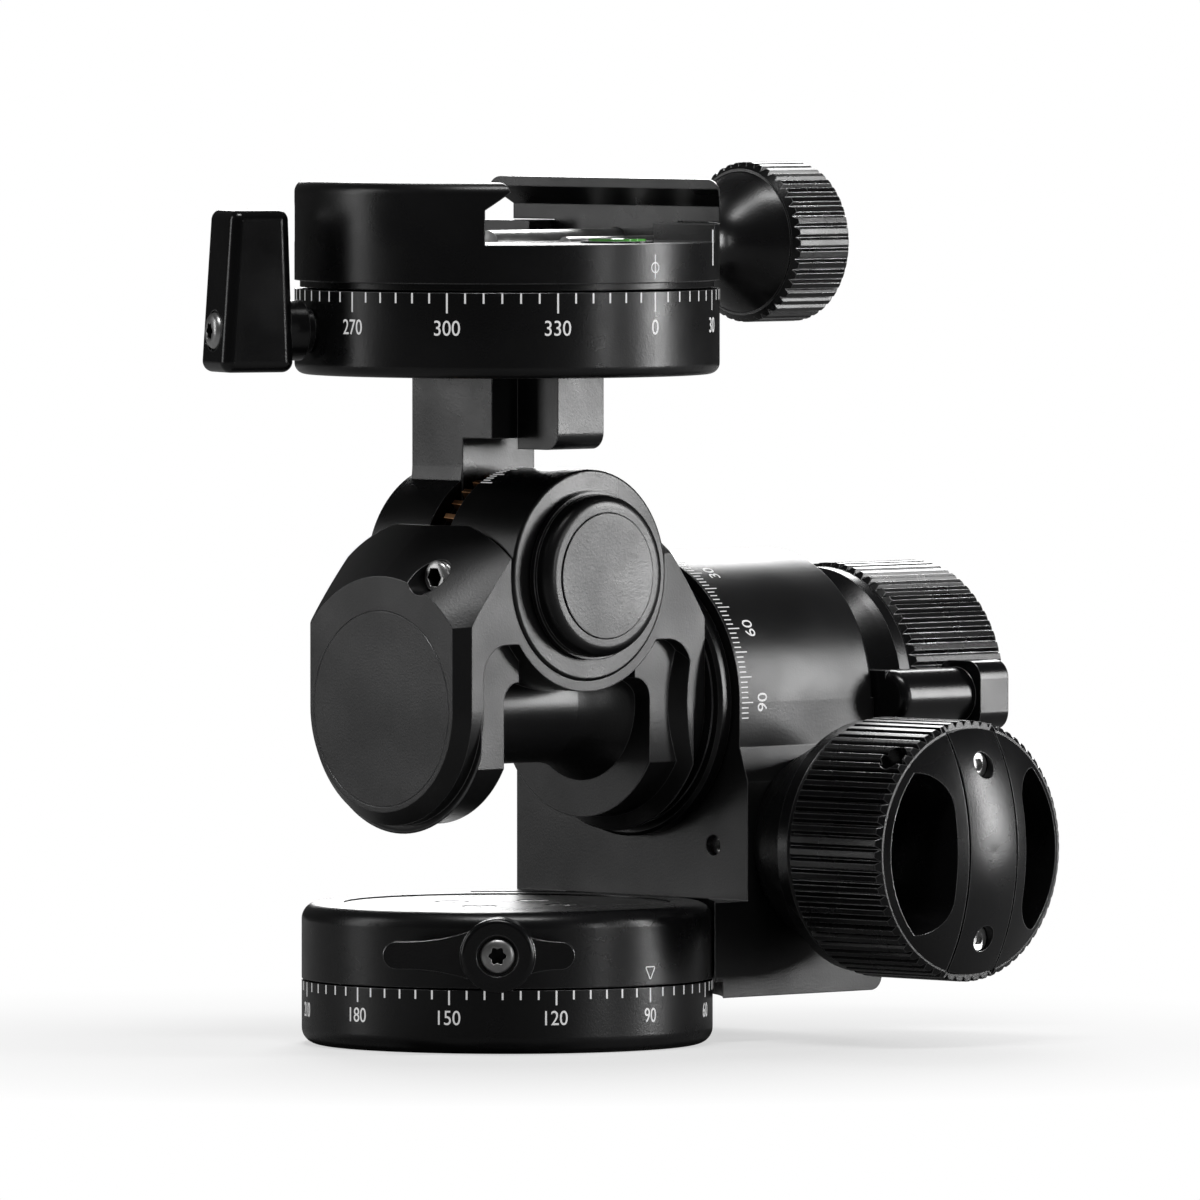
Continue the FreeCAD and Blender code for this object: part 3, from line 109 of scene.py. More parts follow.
def add_camera():
    """A long-lens camera that sees the frame's width at the object."""
    data = bpy.data.cameras.new("camera")
    data.lens = LENS
    data.sensor_width = SENSOR
    data.clip_end = 20.0
    camera = bpy.data.objects.new("camera", data)
    direction = towards(VIEW_AZIMUTH, VIEW_ELEVATION)
    camera.location = AIM + direction * (FRAME_WIDTH * LENS / SENSOR)
    camera.rotation_euler = direction.to_track_quat("Z", "Y").to_euler()
    bpy.context.scene.collection.objects.link(camera)
    bpy.context.scene.camera = camera
    return camera


camera = add_camera()
print("camera at", tuple(round(v, 3) for v in camera.location))

# %% [markdown]
# The light. Black anodised metal has almost no colour of its own, so its shape
# is drawn by what it reflects. Small lamps would leave it black with hard dots.
# Large soft boxes give the long soft bands of the photograph. A bright one stands
# far round on the right and lights every face that looks along X. A weaker one on
# the left does the same for the faces that look along -Y. A narrow strip adds a
# second band on the turned forms, a lamp overhead lights the white ink, and one
# behind keeps the back from going black.


# %% Soft boxes
def soft_box(name, azimuth, elevation, distance, size, power):
    """A rectangular area lamp that looks at the object."""
    data = bpy.data.lights.new(name, "AREA")
    data.shape = "RECTANGLE"
    data.size, data.size_y = size
    data.energy = power
    lamp = bpy.data.objects.new(name, data)
    direction = towards(math.radians(azimuth), math.radians(elevation))
    lamp.location = AIM + direction * distance
    lamp.rotation_euler = direction.to_track_quat("Z", "Y").to_euler()
    bpy.context.scene.collection.objects.link(lamp)
    return lamp


# Azimuth and elevation in degrees, distance and size in metres, power in watts.
LAMPS = [
    soft_box("right_box", 134, 4, 1.1, (0.2, 0.8), 8.0),
    soft_box("left_box", -44, 14, 1.2, (0.28, 0.9), 2.0),
    soft_box("front_strip", 100, 2, 1.5, (0.07, 0.9), 2.4),
    soft_box("high_front", 40, 70, 1.1, (0.5, 0.2), 4.0),
    soft_box("back_box", 225, 30, 1.2, (0.5, 0.9), 12.0),
]
print("lamps:", [lamp.name for lamp in LAMPS])

# %% [markdown]
# The background is plain white and the floor keeps only a soft contact shadow.
# A brighter lamp would burn the metal, so the white is painted instead: what the
# camera sees, also through glass, is white at strength 1. Reflections and the rays
# that light the object see a nearly black room, because a white one all round
# would turn the black metal grey and hide the bands of the soft boxes. The floor
# mixes its lit surface with the same white, more of it further from the object.


# %% World and floor
def link(tree, source, target):
    """Join two sockets."""
    tree.links.new(source, target)


def node(tree, kind, **settings):
    """Add a shader node with some of its settings."""
    made = tree.nodes.new(kind)
    for key, value in settings.items():
        setattr(made, key, value)
    return made


def math_node(tree, operation, first, second):
    """A math node whose inputs are sockets or numbers."""
    made = node(tree, "ShaderNodeMath", operation=operation)
    for index, value in enumerate((first, second)):
        if isinstance(value, (int, float)):
            made.inputs[index].default_value = value
        else:
            link(tree, value, made.inputs[index])
    return made.outputs[0]


def blend_colour(tree, factor, first, second):
    """Mix two colours by a socket; each is a socket or three numbers."""
    made = node(tree, "ShaderNodeMix", data_type="RGBA")
    link(tree, factor, made.inputs["Factor"])
    for socket, value in ((made.inputs[6], first), (made.inputs[7], second)):
        if isinstance(value, tuple):
            socket.default_value = (*value, 1.0)
        else:
            link(tree, value, socket)
    return made.outputs[2]


AMBIENT = 0.03
MIRRORED = 0.03
WHITE = (1, 1, 1, 1)


def make_world():
    """White for the camera, nearly black for reflections and for light."""
    world = bpy.data.worlds.new("studio")
    bpy.context.scene.world = world
    world.use_nodes = True
    tree = world.node_tree
    tree.nodes.clear()
    path = node(tree, "ShaderNodeLightPath")
    through_glass = path.outputs["Is Transmission Ray"]
    seen = math_node(tree, "MAXIMUM", path.outputs["Is Camera Ray"], through_glass)
    mirrored = math_node(tree, "MULTIPLY", path.outputs["Is Glossy Ray"], MIRRORED)
    strength = math_node(tree, "MAXIMUM", seen, mirrored)
    strength = math_node(tree, "MAXIMUM", strength, AMBIENT)
    background = node(tree, "ShaderNodeBackground")
    background.inputs["Color"].default_value = WHITE
    link(tree, strength, background.inputs["Strength"])
    link(tree, background.outputs[0], node(tree, "ShaderNodeOutputWorld").inputs[0])


FLOOR_HALF = 1.6
FLOOR_SEEN = (0.9, 0.9, 0.9)
FLOOR_LIT = (0.22, 0.22, 0.22)
FADE_START = 0.05
FADE_END = 0.15
FADE_LEAST = 0.6


def floor_paint():
    """A lit surface for the shadow, mixed with plain white further out."""
    material = bpy.data.materials.new("floor")
    material.use_nodes = True
    tree = material.node_tree
    tree.nodes.clear()
    path = node(tree, "ShaderNodeLightPath")
    diffuse = node(tree, "ShaderNodeBsdfDiffuse")
    paint = blend_colour(tree, path.outputs["Is Camera Ray"], FLOOR_LIT, FLOOR_SEEN)
    link(tree, paint, diffuse.inputs["Color"])
    white = node(tree, "ShaderNodeEmission")
    white.inputs["Color"].default_value = WHITE
    place = node(tree, "ShaderNodeTexCoord")
    away = node(tree, "ShaderNodeVectorMath", operation="LENGTH")
    link(tree, place.outputs["Object"], away.inputs[0])
    fade = node(tree, "ShaderNodeMapRange")
    fade.inputs["From Min"].default_value = FADE_START
    fade.inputs["From Max"].default_value = FADE_END
    fade.inputs["To Min"].default_value = FADE_LEAST
    fade.inputs["To Max"].default_value = 1.0
    link(tree, away.outputs["Value"], fade.inputs["Value"])
    share = math_node(tree, "MULTIPLY", fade.outputs[0], path.outputs["Is Camera Ray"])
    mix = node(tree, "ShaderNodeMixShader")
    link(tree, share, mix.inputs[0])
    link(tree, diffuse.outputs[0], mix.inputs[1])
    link(tree, white.outputs[0], mix.inputs[2])
    link(tree, mix.outputs[0], node(tree, "ShaderNodeOutputMaterial").inputs[0])
    return material


def make_floor():
    """A large flat floor under the object."""
    mesh = bpy.data.meshes.new("floor")
    half = FLOOR_HALF
    corners = [(-half, -half, 0), (half, -half, 0), (half, half, 0), (-half, half, 0)]
    mesh.from_pydata(corners, [], [(0, 1, 2, 3)])
    floor = bpy.data.objects.new("floor", mesh)
    bpy.context.scene.collection.objects.link(floor)
    mesh.materials.append(floor_paint())


make_world()
make_floor()
bpy.context.scene.view_settings.view_transform = "Standard"
print("studio:", bpy.context.scene.world.name, "and floor,", 2 * FLOOR_HALF, "m wide")

# %% [markdown]
# Black anodised aluminium. Blasting with glass beads leaves a surface of tiny
# dents a few tenths of a millimetre across, and the anodic layer over it is a
# dark, slightly glossy glass. An image texture could show that, but it would
# stretch on the knobs, so the dents are a fine noise in object space that drives
# the bump. A coarse noise moves the roughness, as hands and machining do. The
# Bevel node softens the normals at the edges, and how far they lean from the true
# ones finds the edges. There the colour is painted as light, bare metal in patchy
# spots: partly wear of the thin layer, partly a painted highlight for the light
# that the chamfers catch.


# %% Black anodised metal
def shader_material(name):
    """An empty material with a principled shader and its output."""
    material = bpy.data.materials.new(name)
    material.use_nodes = True
    tree = material.node_tree
    tree.nodes.clear()
    shader = node(tree, "ShaderNodeBsdfPrincipled")
    link(tree, shader.outputs[0], node(tree, "ShaderNodeOutputMaterial").inputs[0])
    return material, tree, shader


def noise(tree, scale, detail):
    """Noise in object space, in features per metre."""
    place = node(tree, "ShaderNodeTexCoord")
    made = node(tree, "ShaderNodeTexNoise")
    made.inputs["Scale"].default_value = scale
    made.inputs["Detail"].default_value = detail
    link(tree, place.outputs["Object"], made.inputs["Vector"])
    return made.outputs["Fac"]


def spread(tree, value, low, high, from_low=0.3, from_high=0.7):
    """Map a value to a range."""
    made = node(tree, "ShaderNodeMapRange")
    made.inputs["From Min"].default_value = from_low
    made.inputs["From Max"].default_value = from_high
    made.inputs["To Min"].default_value = low
    made.inputs["To Max"].default_value = high
    link(tree, value, made.inputs["Value"])
    return made.outputs[0]


def softened(tree, radius):
    """The normal, rounded over the edges."""
    bevel = node(tree, "ShaderNodeBevel", samples=6)
    bevel.inputs["Radius"].default_value = radius
    return bevel.outputs[0]


EDGE_LEAN = 0.80
FLAT_LEAN = 0.985


def edge_share(tree, soft_normal):
    """One at an edge and nothing on a flat, from how far the normals part."""
    true_normal = node(tree, "ShaderNodeNewGeometry").outputs["Normal"]
    lean = node(tree, "ShaderNodeVectorMath", operation="DOT_PRODUCT")
    link(tree, soft_normal, lean.inputs[0])
    link(tree, true_normal, lean.inputs[1])
    return spread(tree, lean.outputs["Value"], 1.0, 0.0, EDGE_LEAN, FLAT_LEAN)


def add_bump(tree, shader, height, strength, distance, normal=None):
    """Bump from a height, over a softened normal where one is given."""
    bump = node(tree, "ShaderNodeBump")
    bump.inputs["Strength"].default_value = strength
    bump.inputs["Distance"].default_value = distance
    link(tree, height, bump.inputs["Height"])
    if normal is not None:
        link(tree, normal, bump.inputs["Normal"])
    link(tree, bump.outputs[0], shader.inputs["Normal"])


# Features per metre of each noise on the black metal.
TONE_PATCHES = 55
HAND_MARKS = 90
EDGE_WEAR_SHEEN_SPOTS = 260
BLAST_DENTS = 3000
DENT_DEPTH = 0.05 * MM
EDGE_WIDTH = 0.22 * MM
RIB_EDGE_WIDTH = 0.2 * MM
BLACK_SPECULAR = 0.62
ROUGHNESS_SWAY = 0.05


def anodised(name, tone, roughness, dent, edge_wear_sheen_tone, edge_width=EDGE_WIDTH):
    """Bead-blasted black anodised aluminium."""
    material, tree, shader = shader_material(name)
    soft_normal = softened(tree, edge_width)
    lighter = tuple(channel * 1.5 for channel in tone)
    body = blend_colour(tree, spread(tree, noise(tree, TONE_PATCHES, 4), 0, 1), tone, lighter)
    spots = spread(tree, noise(tree, EDGE_WEAR_SHEEN_SPOTS, 3), 0.35, 0.9)
    # Wear and painted highlight: the edges turn light and metallic in patchy spots.
    worn_edge_sheen = math_node(tree, "MULTIPLY", edge_share(tree, soft_normal), spots)
    link(tree, blend_colour(tree, worn_edge_sheen, body, edge_wear_sheen_tone), shader.inputs["Base Color"])
    marks = noise(tree, HAND_MARKS, 5)
    rough = spread(tree, marks, roughness - ROUGHNESS_SWAY, roughness + ROUGHNESS_SWAY)
    link(tree, rough, shader.inputs["Roughness"])
    link(tree, worn_edge_sheen, shader.inputs["Metallic"])
    shader.inputs["Specular IOR Level"].default_value = BLACK_SPECULAR
    add_bump(tree, shader, noise(tree, BLAST_DENTS, 2), dent, DENT_DEPTH, soft_normal)
    return material


# The last colour of each finish is its edge colour: wear, and a painted highlight.
BLACK = anodised("black_blasted", (0.006, 0.006, 0.0065), 0.29, 0.3, (0.5, 0.5, 0.51))
KNOB_BLACK = anodised("black_ribbed", (0.006, 0.006, 0.0065), 0.27, 0.25, (0.7, 0.7, 0.71), RIB_EDGE_WIDTH)
LEVER_BLACK = anodised("black_smooth", (0.005, 0.005, 0.0055), 0.22, 0.15, (0.6, 0.6, 0.61))
MILLED_BLACK = anodised("black_milled", (0.010, 0.010, 0.0105), 0.33, 0.3, (0.6, 0.6, 0.61))
print("black finishes:", [m.name for m in (BLACK, KNOB_BLACK, LEVER_BLACK, MILLED_BLACK)])

# %% [markdown]
# The bright metals. Screws, pins and worms are plain steel, turned or ground, and
# the gear wheels are bronze, with a darker film of old grease between the teeth.
# One shader makes them all: two tones mixed by a patchy noise, a second noise on
# the roughness, and a shallow bump for the machining marks. The sockets of the
# screws have a dark one of their own, because oil and shadow fill them.


# %% Steel and bronze
METAL_EDGE_WIDTH = 0.12 * MM
FILM_PATCHES = 420
POLISH_PATCHES = 700
MACHINING_GRAIN = 2400
MACHINING_DEPTH = 0.01 * MM


def bare_metal(name, tone, dark, roughness):
    """Bare metal with machining marks and a patchy film."""
    material, tree, shader = shader_material(name)
    film = spread(tree, noise(tree, FILM_PATCHES, 4), 0, 1)
    link(tree, blend_colour(tree, film, tone, dark), shader.inputs["Base Color"])
    shader.inputs["Metallic"].default_value = 1.0
    polish = noise(tree, POLISH_PATCHES, 3)
    link(tree, spread(tree, polish, roughness - 0.06, roughness + 0.08), shader.inputs["Roughness"])
    grain = noise(tree, MACHINING_GRAIN, 3)
    add_bump(tree, shader, grain, 0.25, MACHINING_DEPTH, softened(tree, METAL_EDGE_WIDTH))
    return material


STEEL = bare_metal("stainless_screw", (0.78, 0.78, 0.77), (0.62, 0.62, 0.62), 0.36)
WORM_STEEL = bare_metal("ground_steel", (0.6, 0.6, 0.61), (0.42, 0.42, 0.43), 0.28)
BRONZE = bare_metal("gear_bronze", (0.72, 0.40, 0.20), (0.38, 0.17, 0.07), 0.33)
BUSH_BRONZE = bare_metal("bush_bronze", (0.60, 0.40, 0.20), (0.45, 0.28, 0.13), 0.4)
# Dark steel for the sockets: oil, and the painted shade of the recess.
SOCKET_OIL_AND_SHADE = bare_metal("socket_shadow", (0.05, 0.05, 0.05), (0.02, 0.02, 0.02), 0.5)
print("bright finishes:", [m.name for m in (STEEL, WORM_STEEL, BRONZE, BUSH_BRONZE, SOCKET_OIL_AND_SHADE)])

# %% [markdown]
# Nylon washers, white ink and the green spirit of the level. The ink could be lit
# by the lamps alone, but then the numbers would fade on the faces that turn away
# from them, while every scale shows equally white. So the ink has a faint emission,
# painted light that keeps it white. The spirit is a glossy liquid with a clear coat over it.


# %% Nylon, ink and spirit
def plain(name, tone, dark, roughness, grain, depth):
    """A dull surface, such as plastic or ink, with a fine grain."""
    material, tree, shader = shader_material(name)
    patches = spread(tree, noise(tree, 900, 3), 0, 1)
    link(tree, blend_colour(tree, patches, tone, dark), shader.inputs["Base Color"])
    sway = noise(tree, 1500, 2)
    rough = spread(tree, sway, roughness - ROUGHNESS_SWAY, roughness + ROUGHNESS_SWAY)
    link(tree, rough, shader.inputs["Roughness"])
    add_bump(tree, shader, noise(tree, grain, 2), 0.3, depth)
    return material, shader


# Painted light: the ink's emission keeps it white where the lamps miss it.
INK_PAINTED_GLOW = 0.38


def white_ink():
    """White ink with a little emission, painted light that keeps it white."""
    material, shader = plain("white_ink", (0.86, 0.86, 0.86), (0.76, 0.76, 0.76), 0.5, 9000, 0.004 * MM)
    shader.inputs["Emission Color"].default_value = WHITE
    shader.inputs["Emission Strength"].default_value = INK_PAINTED_GLOW
    return material


def level_spirit():
    """Green liquid with slow changes of depth."""
    material, tree, shader = shader_material("level_spirit")
    depth = spread(tree, noise(tree, 300, 2), 0, 1)
    green = blend_colour(tree, depth, (0.12, 0.62, 0.08), (0.20, 0.80, 0.14))
    link(tree, green, shader.inputs["Base Color"])
    link(tree, spread(tree, noise(tree, 800, 2), 0.06, 0.12), shader.inputs["Roughness"])
    shader.inputs["Coat Weight"].default_value = 0.6
    return material


NYLON, _ = plain("nylon", (0.78, 0.76, 0.70), (0.72, 0.70, 0.64), 0.5, 3000, 0.01 * MM)
INK = white_ink()
SPIRIT = level_spirit()
print("other finishes:", [m.name for m in (NYLON, INK, SPIRIT)])

# %% [markdown]
# Every solid gets its finish from the slot that the part's record gives it. A
# few black pieces differ: the milled faces of the bridge, its cap and the frame
# look lighter than the turned discs, so they are named one by one.

# %% Finishes on the solids
SLOT_FINISH = {
    "black_anodised": BLACK, "black_knobs": KNOB_BLACK, "black_levers": LEVER_BLACK,
    "stainless": STEEL, "worm_steel": WORM_STEEL, "gear_bronze": BRONZE,
    "bush_bronze": BUSH_BRONZE, "nylon": NYLON, "green_vial": SPIRIT, "bezel": LEVER_BLACK,
}
NODE_FINISH = {"bridge": MILLED_BLACK, "frame": MILLED_BLACK, "front_cap": MILLED_BLACK}


def dress_solids():
    """Give every solid its finish."""
    for part in frame["record"]["subparts"]:
        name = part["node"]
        finish = NODE_FINISH.get(name, SLOT_FINISH[part["material_slot"]])
        mesh = frame["nodes"][name].data
        mesh.materials.clear()
        mesh.materials.append(finish)
    return len(frame["record"]["subparts"])


print("solids dressed:", dress_solids())

# %% [markdown]
# The scales are engraved and filled with white ink. They could be a texture, but
# then they would blur close up, so each mark is a thin raised plate of real
# geometry, bent round its cylinder. A helper for each cylinder says where a point
# is, by its angle, its place along the axis and its height above the metal. The
# housing is round only on top: below the axis its sides go straight down, and the
# scale goes down with them.

# %% Points on the three cylinders that carry scales
INK_UP = 0.025 * MM
INK_DOWN = -0.06 * MM


def on_dial(radius):
    """Points on a dial about Z; the angle runs from +X towards +Y."""
    def point(angle, along, lift):
        r = radius + lift
        return Vector((r * math.cos(angle), r * math.sin(angle), along))
    return point


def on_housing(radius):
    """Points on the housing, round its top from +Z towards +X and then straight down its side."""
    def point(angle, along, lift):
        r = radius + lift
        if angle > math.pi / 2:
            return Vector((r, along, tilt_axis_z - radius * (angle - math.pi / 2)))
        return Vector((r * math.sin(angle), along, tilt_axis_z + r * math.cos(angle)))
    return point


def on_barrel(radius):
    """Points on the barrel about the roll axis; the angle runs from +Z towards -Y."""
    def point(angle, along, lift):
        r = radius + lift
        return Vector((along, -r * math.sin(angle), roll_axis_z + r * math.cos(angle)))
    return point


def piece(name, mesh, body, finish, smooth=False):
    """Link a mesh as a piece that rides on a body."""
    made = bpy.data.objects.new(name, mesh)
    bpy.context.scene.collection.objects.link(made)
    mesh.materials.append(finish)
    if smooth:
        mesh.shade_smooth()
    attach(made, body)
    return made


print("ink stands", round(INK_UP / MM, 3), "mm over the metal")

# %% [markdown]
# Every scale is made of two things, bars and numbers. A bar is a bent box. A number
# starts as a text object, which Blender turns to a mesh, and that mesh is stretched
# to the wanted height and width per digit and then bent round the cylinder.

# %% Bars and numbers as mesh
BAR_FACES = [(3, 2, 1, 0), (4, 5, 6, 7), (0, 1, 5, 4), (1, 2, 6, 5), (2, 3, 7, 6), (3, 0, 4, 7)]


def add_bar(bm, point, radius, angle, width, low, high):
    """A bar along the axis, bent round the cylinder."""
    half = width / 2 / radius
    corners = []
    for lift in (INK_DOWN, INK_UP):
        for turn, along in ((-half, low), (half, low), (half, high), (-half, high)):
            corners.append(bm.verts.new(point(angle + turn, along, lift)))
    for face in BAR_FACES:
        bm.faces.new([corners[index] for index in face])


def number_mesh(text, height, digit_width):
    """A flat mesh of a number, centred, at a height and a width per digit."""
    curve = bpy.data.curves.new("number", "FONT")
    curve.body = text
    curve.align_x = "CENTER"
    curve.align_y = "CENTER"
    curve.extrude = 0.5
    curve.resolution_u = 6
    carrier = bpy.data.objects.new("number", curve)
    bpy.context.scene.collection.objects.link(carrier)
    bpy.context.view_layer.update()
    shown = carrier.evaluated_get(bpy.context.evaluated_depsgraph_get())
    mesh = bpy.data.meshes.new_from_object(shown)
    bpy.data.objects.remove(carrier)
    bpy.data.curves.remove(curve)
    lows = [min(v.co[axis] for v in mesh.vertices) for axis in range(3)]
    highs = [max(v.co[axis] for v in mesh.vertices) for axis in range(3)]
    wide = digit_width * len(text)
    sizes = (wide, height, INK_UP - INK_DOWN)
    for vertex in mesh.vertices:
        for axis in range(3):
            share = (vertex.co[axis] - lows[axis]) / (highs[axis] - lows[axis]) - 0.5
            vertex.co[axis] = share * sizes[axis]
    return mesh


def add_number(bm, point, text, height, digit_width, bend):
    """A number on a cylinder; bend turns its flat x and y to an angle and a place."""
    mesh = number_mesh(text, height, digit_width)
    middle_lift = (INK_UP + INK_DOWN) / 2
    start = len(bm.verts)
    bm.from_mesh(mesh)
    bm.verts.ensure_lookup_table()
    for vertex in bm.verts[start:]:
        angle, along = bend(vertex.co.x, vertex.co.y)
        vertex.co = point(angle, along, vertex.co.z + middle_lift)
    bpy.data.meshes.remove(mesh)


def finish_marks(bm, name, body):
    """Turn the marks into a piece."""
    bmesh.ops.recalc_face_normals(bm, faces=bm.faces)
    mesh = bpy.data.meshes.new(name)
    bm.to_mesh(mesh)
    bm.free()
    return piece(name, mesh, body, INK)


print("a bar has", len(BAR_FACES), "faces")

# %% [markdown]
# Both dials have a short line every five degrees and a longer one with a number
# every thirty. On the lower dial the count runs the other way round and starts
# at 90 on the +X side, as the photograph shows.

# %% The two dial scales
DIAL_STEP = 5
NUMBER_STEP = 30
DIAL_LINE_W = 0.26 * MM
EDGE_GAP = 0.05 * MM
LOWER_MARKS = {"minor": 1.3 * MM, "major": 2.1 * MM, "height": 2.1 * MM, "digit": 1.12 * MM}
UPPER_MARKS = {"minor": 1.5 * MM, "major": 2.9 * MM, "height": 2.2 * MM, "digit": 1.3 * MM}
BASE_DIAL_H = 9.3 * MM
LOWER_NUMBER_Z = 5.3 * MM
UPPER_NUMBER_Z = 105.0 * MM


def dial_scale(name, body, radius, edge, marks, number_z, label):
    """Lines from an edge and numbers under them, all round a dial."""
    bm = bmesh.new()
    point = on_dial(radius)
    start = edge - EDGE_GAP
    for degrees in range(0, 360, DIAL_STEP):
        angle = math.radians(degrees)
        numbered = degrees % NUMBER_STEP == 0
        length = marks["major"] if numbered else marks["minor"]
        add_bar(bm, point, radius, angle, DIAL_LINE_W, start - length, start)
        if numbered:
            def bend(x, y, angle=angle):
                return angle + x / radius, number_z + y
            add_number(bm, point, str(label(degrees)), marks["height"], marks["digit"], bend)
    return finish_marks(bm, name, body)


def lower_label(degrees):
    """The lower dial counts the other way round, from 90 on the +X side."""
    return (90 - degrees) % 360


lower_edge = extent("dial_base", 2)[0] + BASE_DIAL_H
lower_scale = dial_scale("lower_scale", "base", base_r, lower_edge, LOWER_MARKS, LOWER_NUMBER_Z, lower_label)
upper_scale = dial_scale("upper_scale", "roll", top_r, top_seam, UPPER_MARKS, UPPER_NUMBER_Z, int)
print("dial scales:", len(lower_scale.data.polygons), len(upper_scale.data.polygons), "faces")

# %% [markdown]
# The tilt scale is on the housing behind the rotor: a line every two degrees, a
# longer one every ten, and numbers that read upwards along the rim.

# %% The tilt scale
HOUSING_R = extent("frame", 2)[1] - tilt_axis_z
HOUSING_FRONT = 26.4 * MM
TILT_STEP = 2
LONG_STEP = 10
TILT_FROM = -50
TILT_TO = 96
TILT_LINE_W = 0.17 * MM
TILT_SHORT = 1.35 * MM
TILT_LONG = 2.3 * MM
TILT_NUMBERS = (-30, 0, 30, 60, 90)
TILT_NUMBER_IN = 4.2 * MM
TILT_NUMBER_H = 1.9 * MM
TILT_DIGIT_W = 1.35 * MM


def tilt_scale():
    """The scale round the front rim of the housing."""
    bm = bmesh.new()
    point = on_housing(HOUSING_R)
    start = HOUSING_FRONT + 0.45 * MM
    for degrees in range(TILT_FROM, TILT_TO + 1, TILT_STEP):
        length = TILT_LONG if degrees % LONG_STEP == 0 else TILT_SHORT
        add_bar(bm, point, HOUSING_R, math.radians(degrees), TILT_LINE_W, start, start + length)
    for degrees in TILT_NUMBERS:
        angle = math.radians(degrees)
        def bend(x, y, angle=angle):
            return angle - x / HOUSING_R, start + TILT_NUMBER_IN - y
        add_number(bm, point, str(abs(degrees)), TILT_NUMBER_H, TILT_DIGIT_W, bend)
    return finish_marks(bm, "tilt_scale", "pan")


print("tilt scale:", len(tilt_scale().data.polygons), "faces at", round(HOUSING_R / MM, 3), "mm")

# %% [markdown]
# The roll scale is short: a few lines at the rim of the barrel, on the side of the
# arm, with each fourth one longer. It has no numbers.

# %% The roll scale
BARREL_R = extent("roll_barrel", 1)[1]
BARREL_RIM = extent("roll_barrel", 0)[0]
ROLL_STEP = 2.5
ROLL_LINES = 12
ROLL_LINE_W = 0.2 * MM
ROLL_SHORT = 1.4 * MM
ROLL_LONG = 2.3 * MM


def roll_scale():
    """Short lines at the barrel's rim on the arm's side."""
    bm = bmesh.new()
    point = on_barrel(BARREL_R)
    start = BARREL_RIM + 0.15 * MM
    for index in range(-ROLL_LINES, ROLL_LINES + 1):
        length = ROLL_LONG if index % 4 == 0 else ROLL_SHORT
        angle = math.radians(ROLL_STEP * index)
        add_bar(bm, point, BARREL_R, angle, ROLL_LINE_W, start, start + length)
    return finish_marks(bm, "roll_scale", "tilt")


print("roll scale:", len(roll_scale().data.polygons), "faces at", round(BARREL_R / MM, 3), "mm")

# %% [markdown]
# Index marks. Each dial is read against a mark on the disc next to it: a small
# outlined triangle over the lower dial, and on the clamp a line through a small
# circle. A second, plain bar marks the clamp's side.


# %% Index marks
FINE_LINE = 0.16 * MM
TRIANGLE_HALF = 0.95 * MM
TRIANGLE_LOW = 10.4 * MM
TRIANGLE_HIGH = 12.3 * MM
SIDE_SHARES = (0.08, 0.36, 0.64, 0.92)
INDEX_DROP = 14.4 * MM
CIRCLE_R = 0.72 * MM
CIRCLE_POINTS = 28
SIDE_BAR_ANGLE = math.radians(31.0)
SIDE_BAR_W = 0.45 * MM


def add_outline(bm, point, radius, path):
    """A line of even width along a closed flat path, bent round a cylinder."""
    count = len(path)
    rings = []
    for index, here in enumerate(path):
        way = (Vector(path[(index + 1) % count]) - Vector(path[index - 1])).normalized()
        side = Vector((-way.y, way.x)) * FINE_LINE / 2
        ring = []
        for offset, lift in ((side, INK_DOWN), (side, INK_UP), (-side, INK_UP), (-side, INK_DOWN)):
            flat = Vector(here) + offset
            ring.append(bm.verts.new(point(flat.x / radius, flat.y, lift)))
        rings.append(ring)
    for index in range(count):
        first, second = rings[index], rings[(index + 1) % count]
        for corner in range(4):
            following = (corner + 1) % 4
            bm.faces.new((first[corner], first[following], second[following], second[corner]))


def lower_index():
    """The outlined triangle above the lower dial."""
    bm = bmesh.new()
    corners = [(0, TRIANGLE_LOW), (TRIANGLE_HALF, TRIANGLE_HIGH), (-TRIANGLE_HALF, TRIANGLE_HIGH)]
    path = []
    for index, corner in enumerate(corners):
        following = corners[(index + 1) % 3]
        for share in SIDE_SHARES:
            path.append(tuple(a + (b - a) * share for a, b in zip(corner, following)))
    add_outline(bm, on_dial(base_r), base_r, path)
    return finish_marks(bm, "lower_index", "pan")


def upper_index():
    """A line through a circle, and a bar, on the clamp."""
    bm = bmesh.new()
    point = on_dial(top_r)
    low = extent("clamp_body", 2)[1] - INDEX_DROP
    centre = low + 2.0 * MM
    circle = []
    for index in range(CIRCLE_POINTS):
        turn = 2 * math.pi * index / CIRCLE_POINTS
        circle.append((CIRCLE_R * math.cos(turn), centre + CIRCLE_R * math.sin(turn)))
    add_outline(bm, point, top_r, circle)
    add_bar(bm, point, top_r, 0.0, 0.17 * MM, low + 0.4 * MM, low + 3.9 * MM)
    add_bar(bm, point, top_r, SIDE_BAR_ANGLE, SIDE_BAR_W, low + 2.0 * MM, low + 7.2 * MM)
    return finish_marks(bm, "upper_index", "clamp")


print("index marks:", lower_index().name, upper_index().name)

# %% [markdown]
# Bright screws are what the eye finds first on black metal, so the three that
# show are made fully: the two button heads with their six-lobed sockets, and the
# threaded set screw that stands out of the bridge. All three are turned forms
# whose outline also changes round the axis, so one helper builds them from rings,
# each a place along the axis and a radius for every angle.


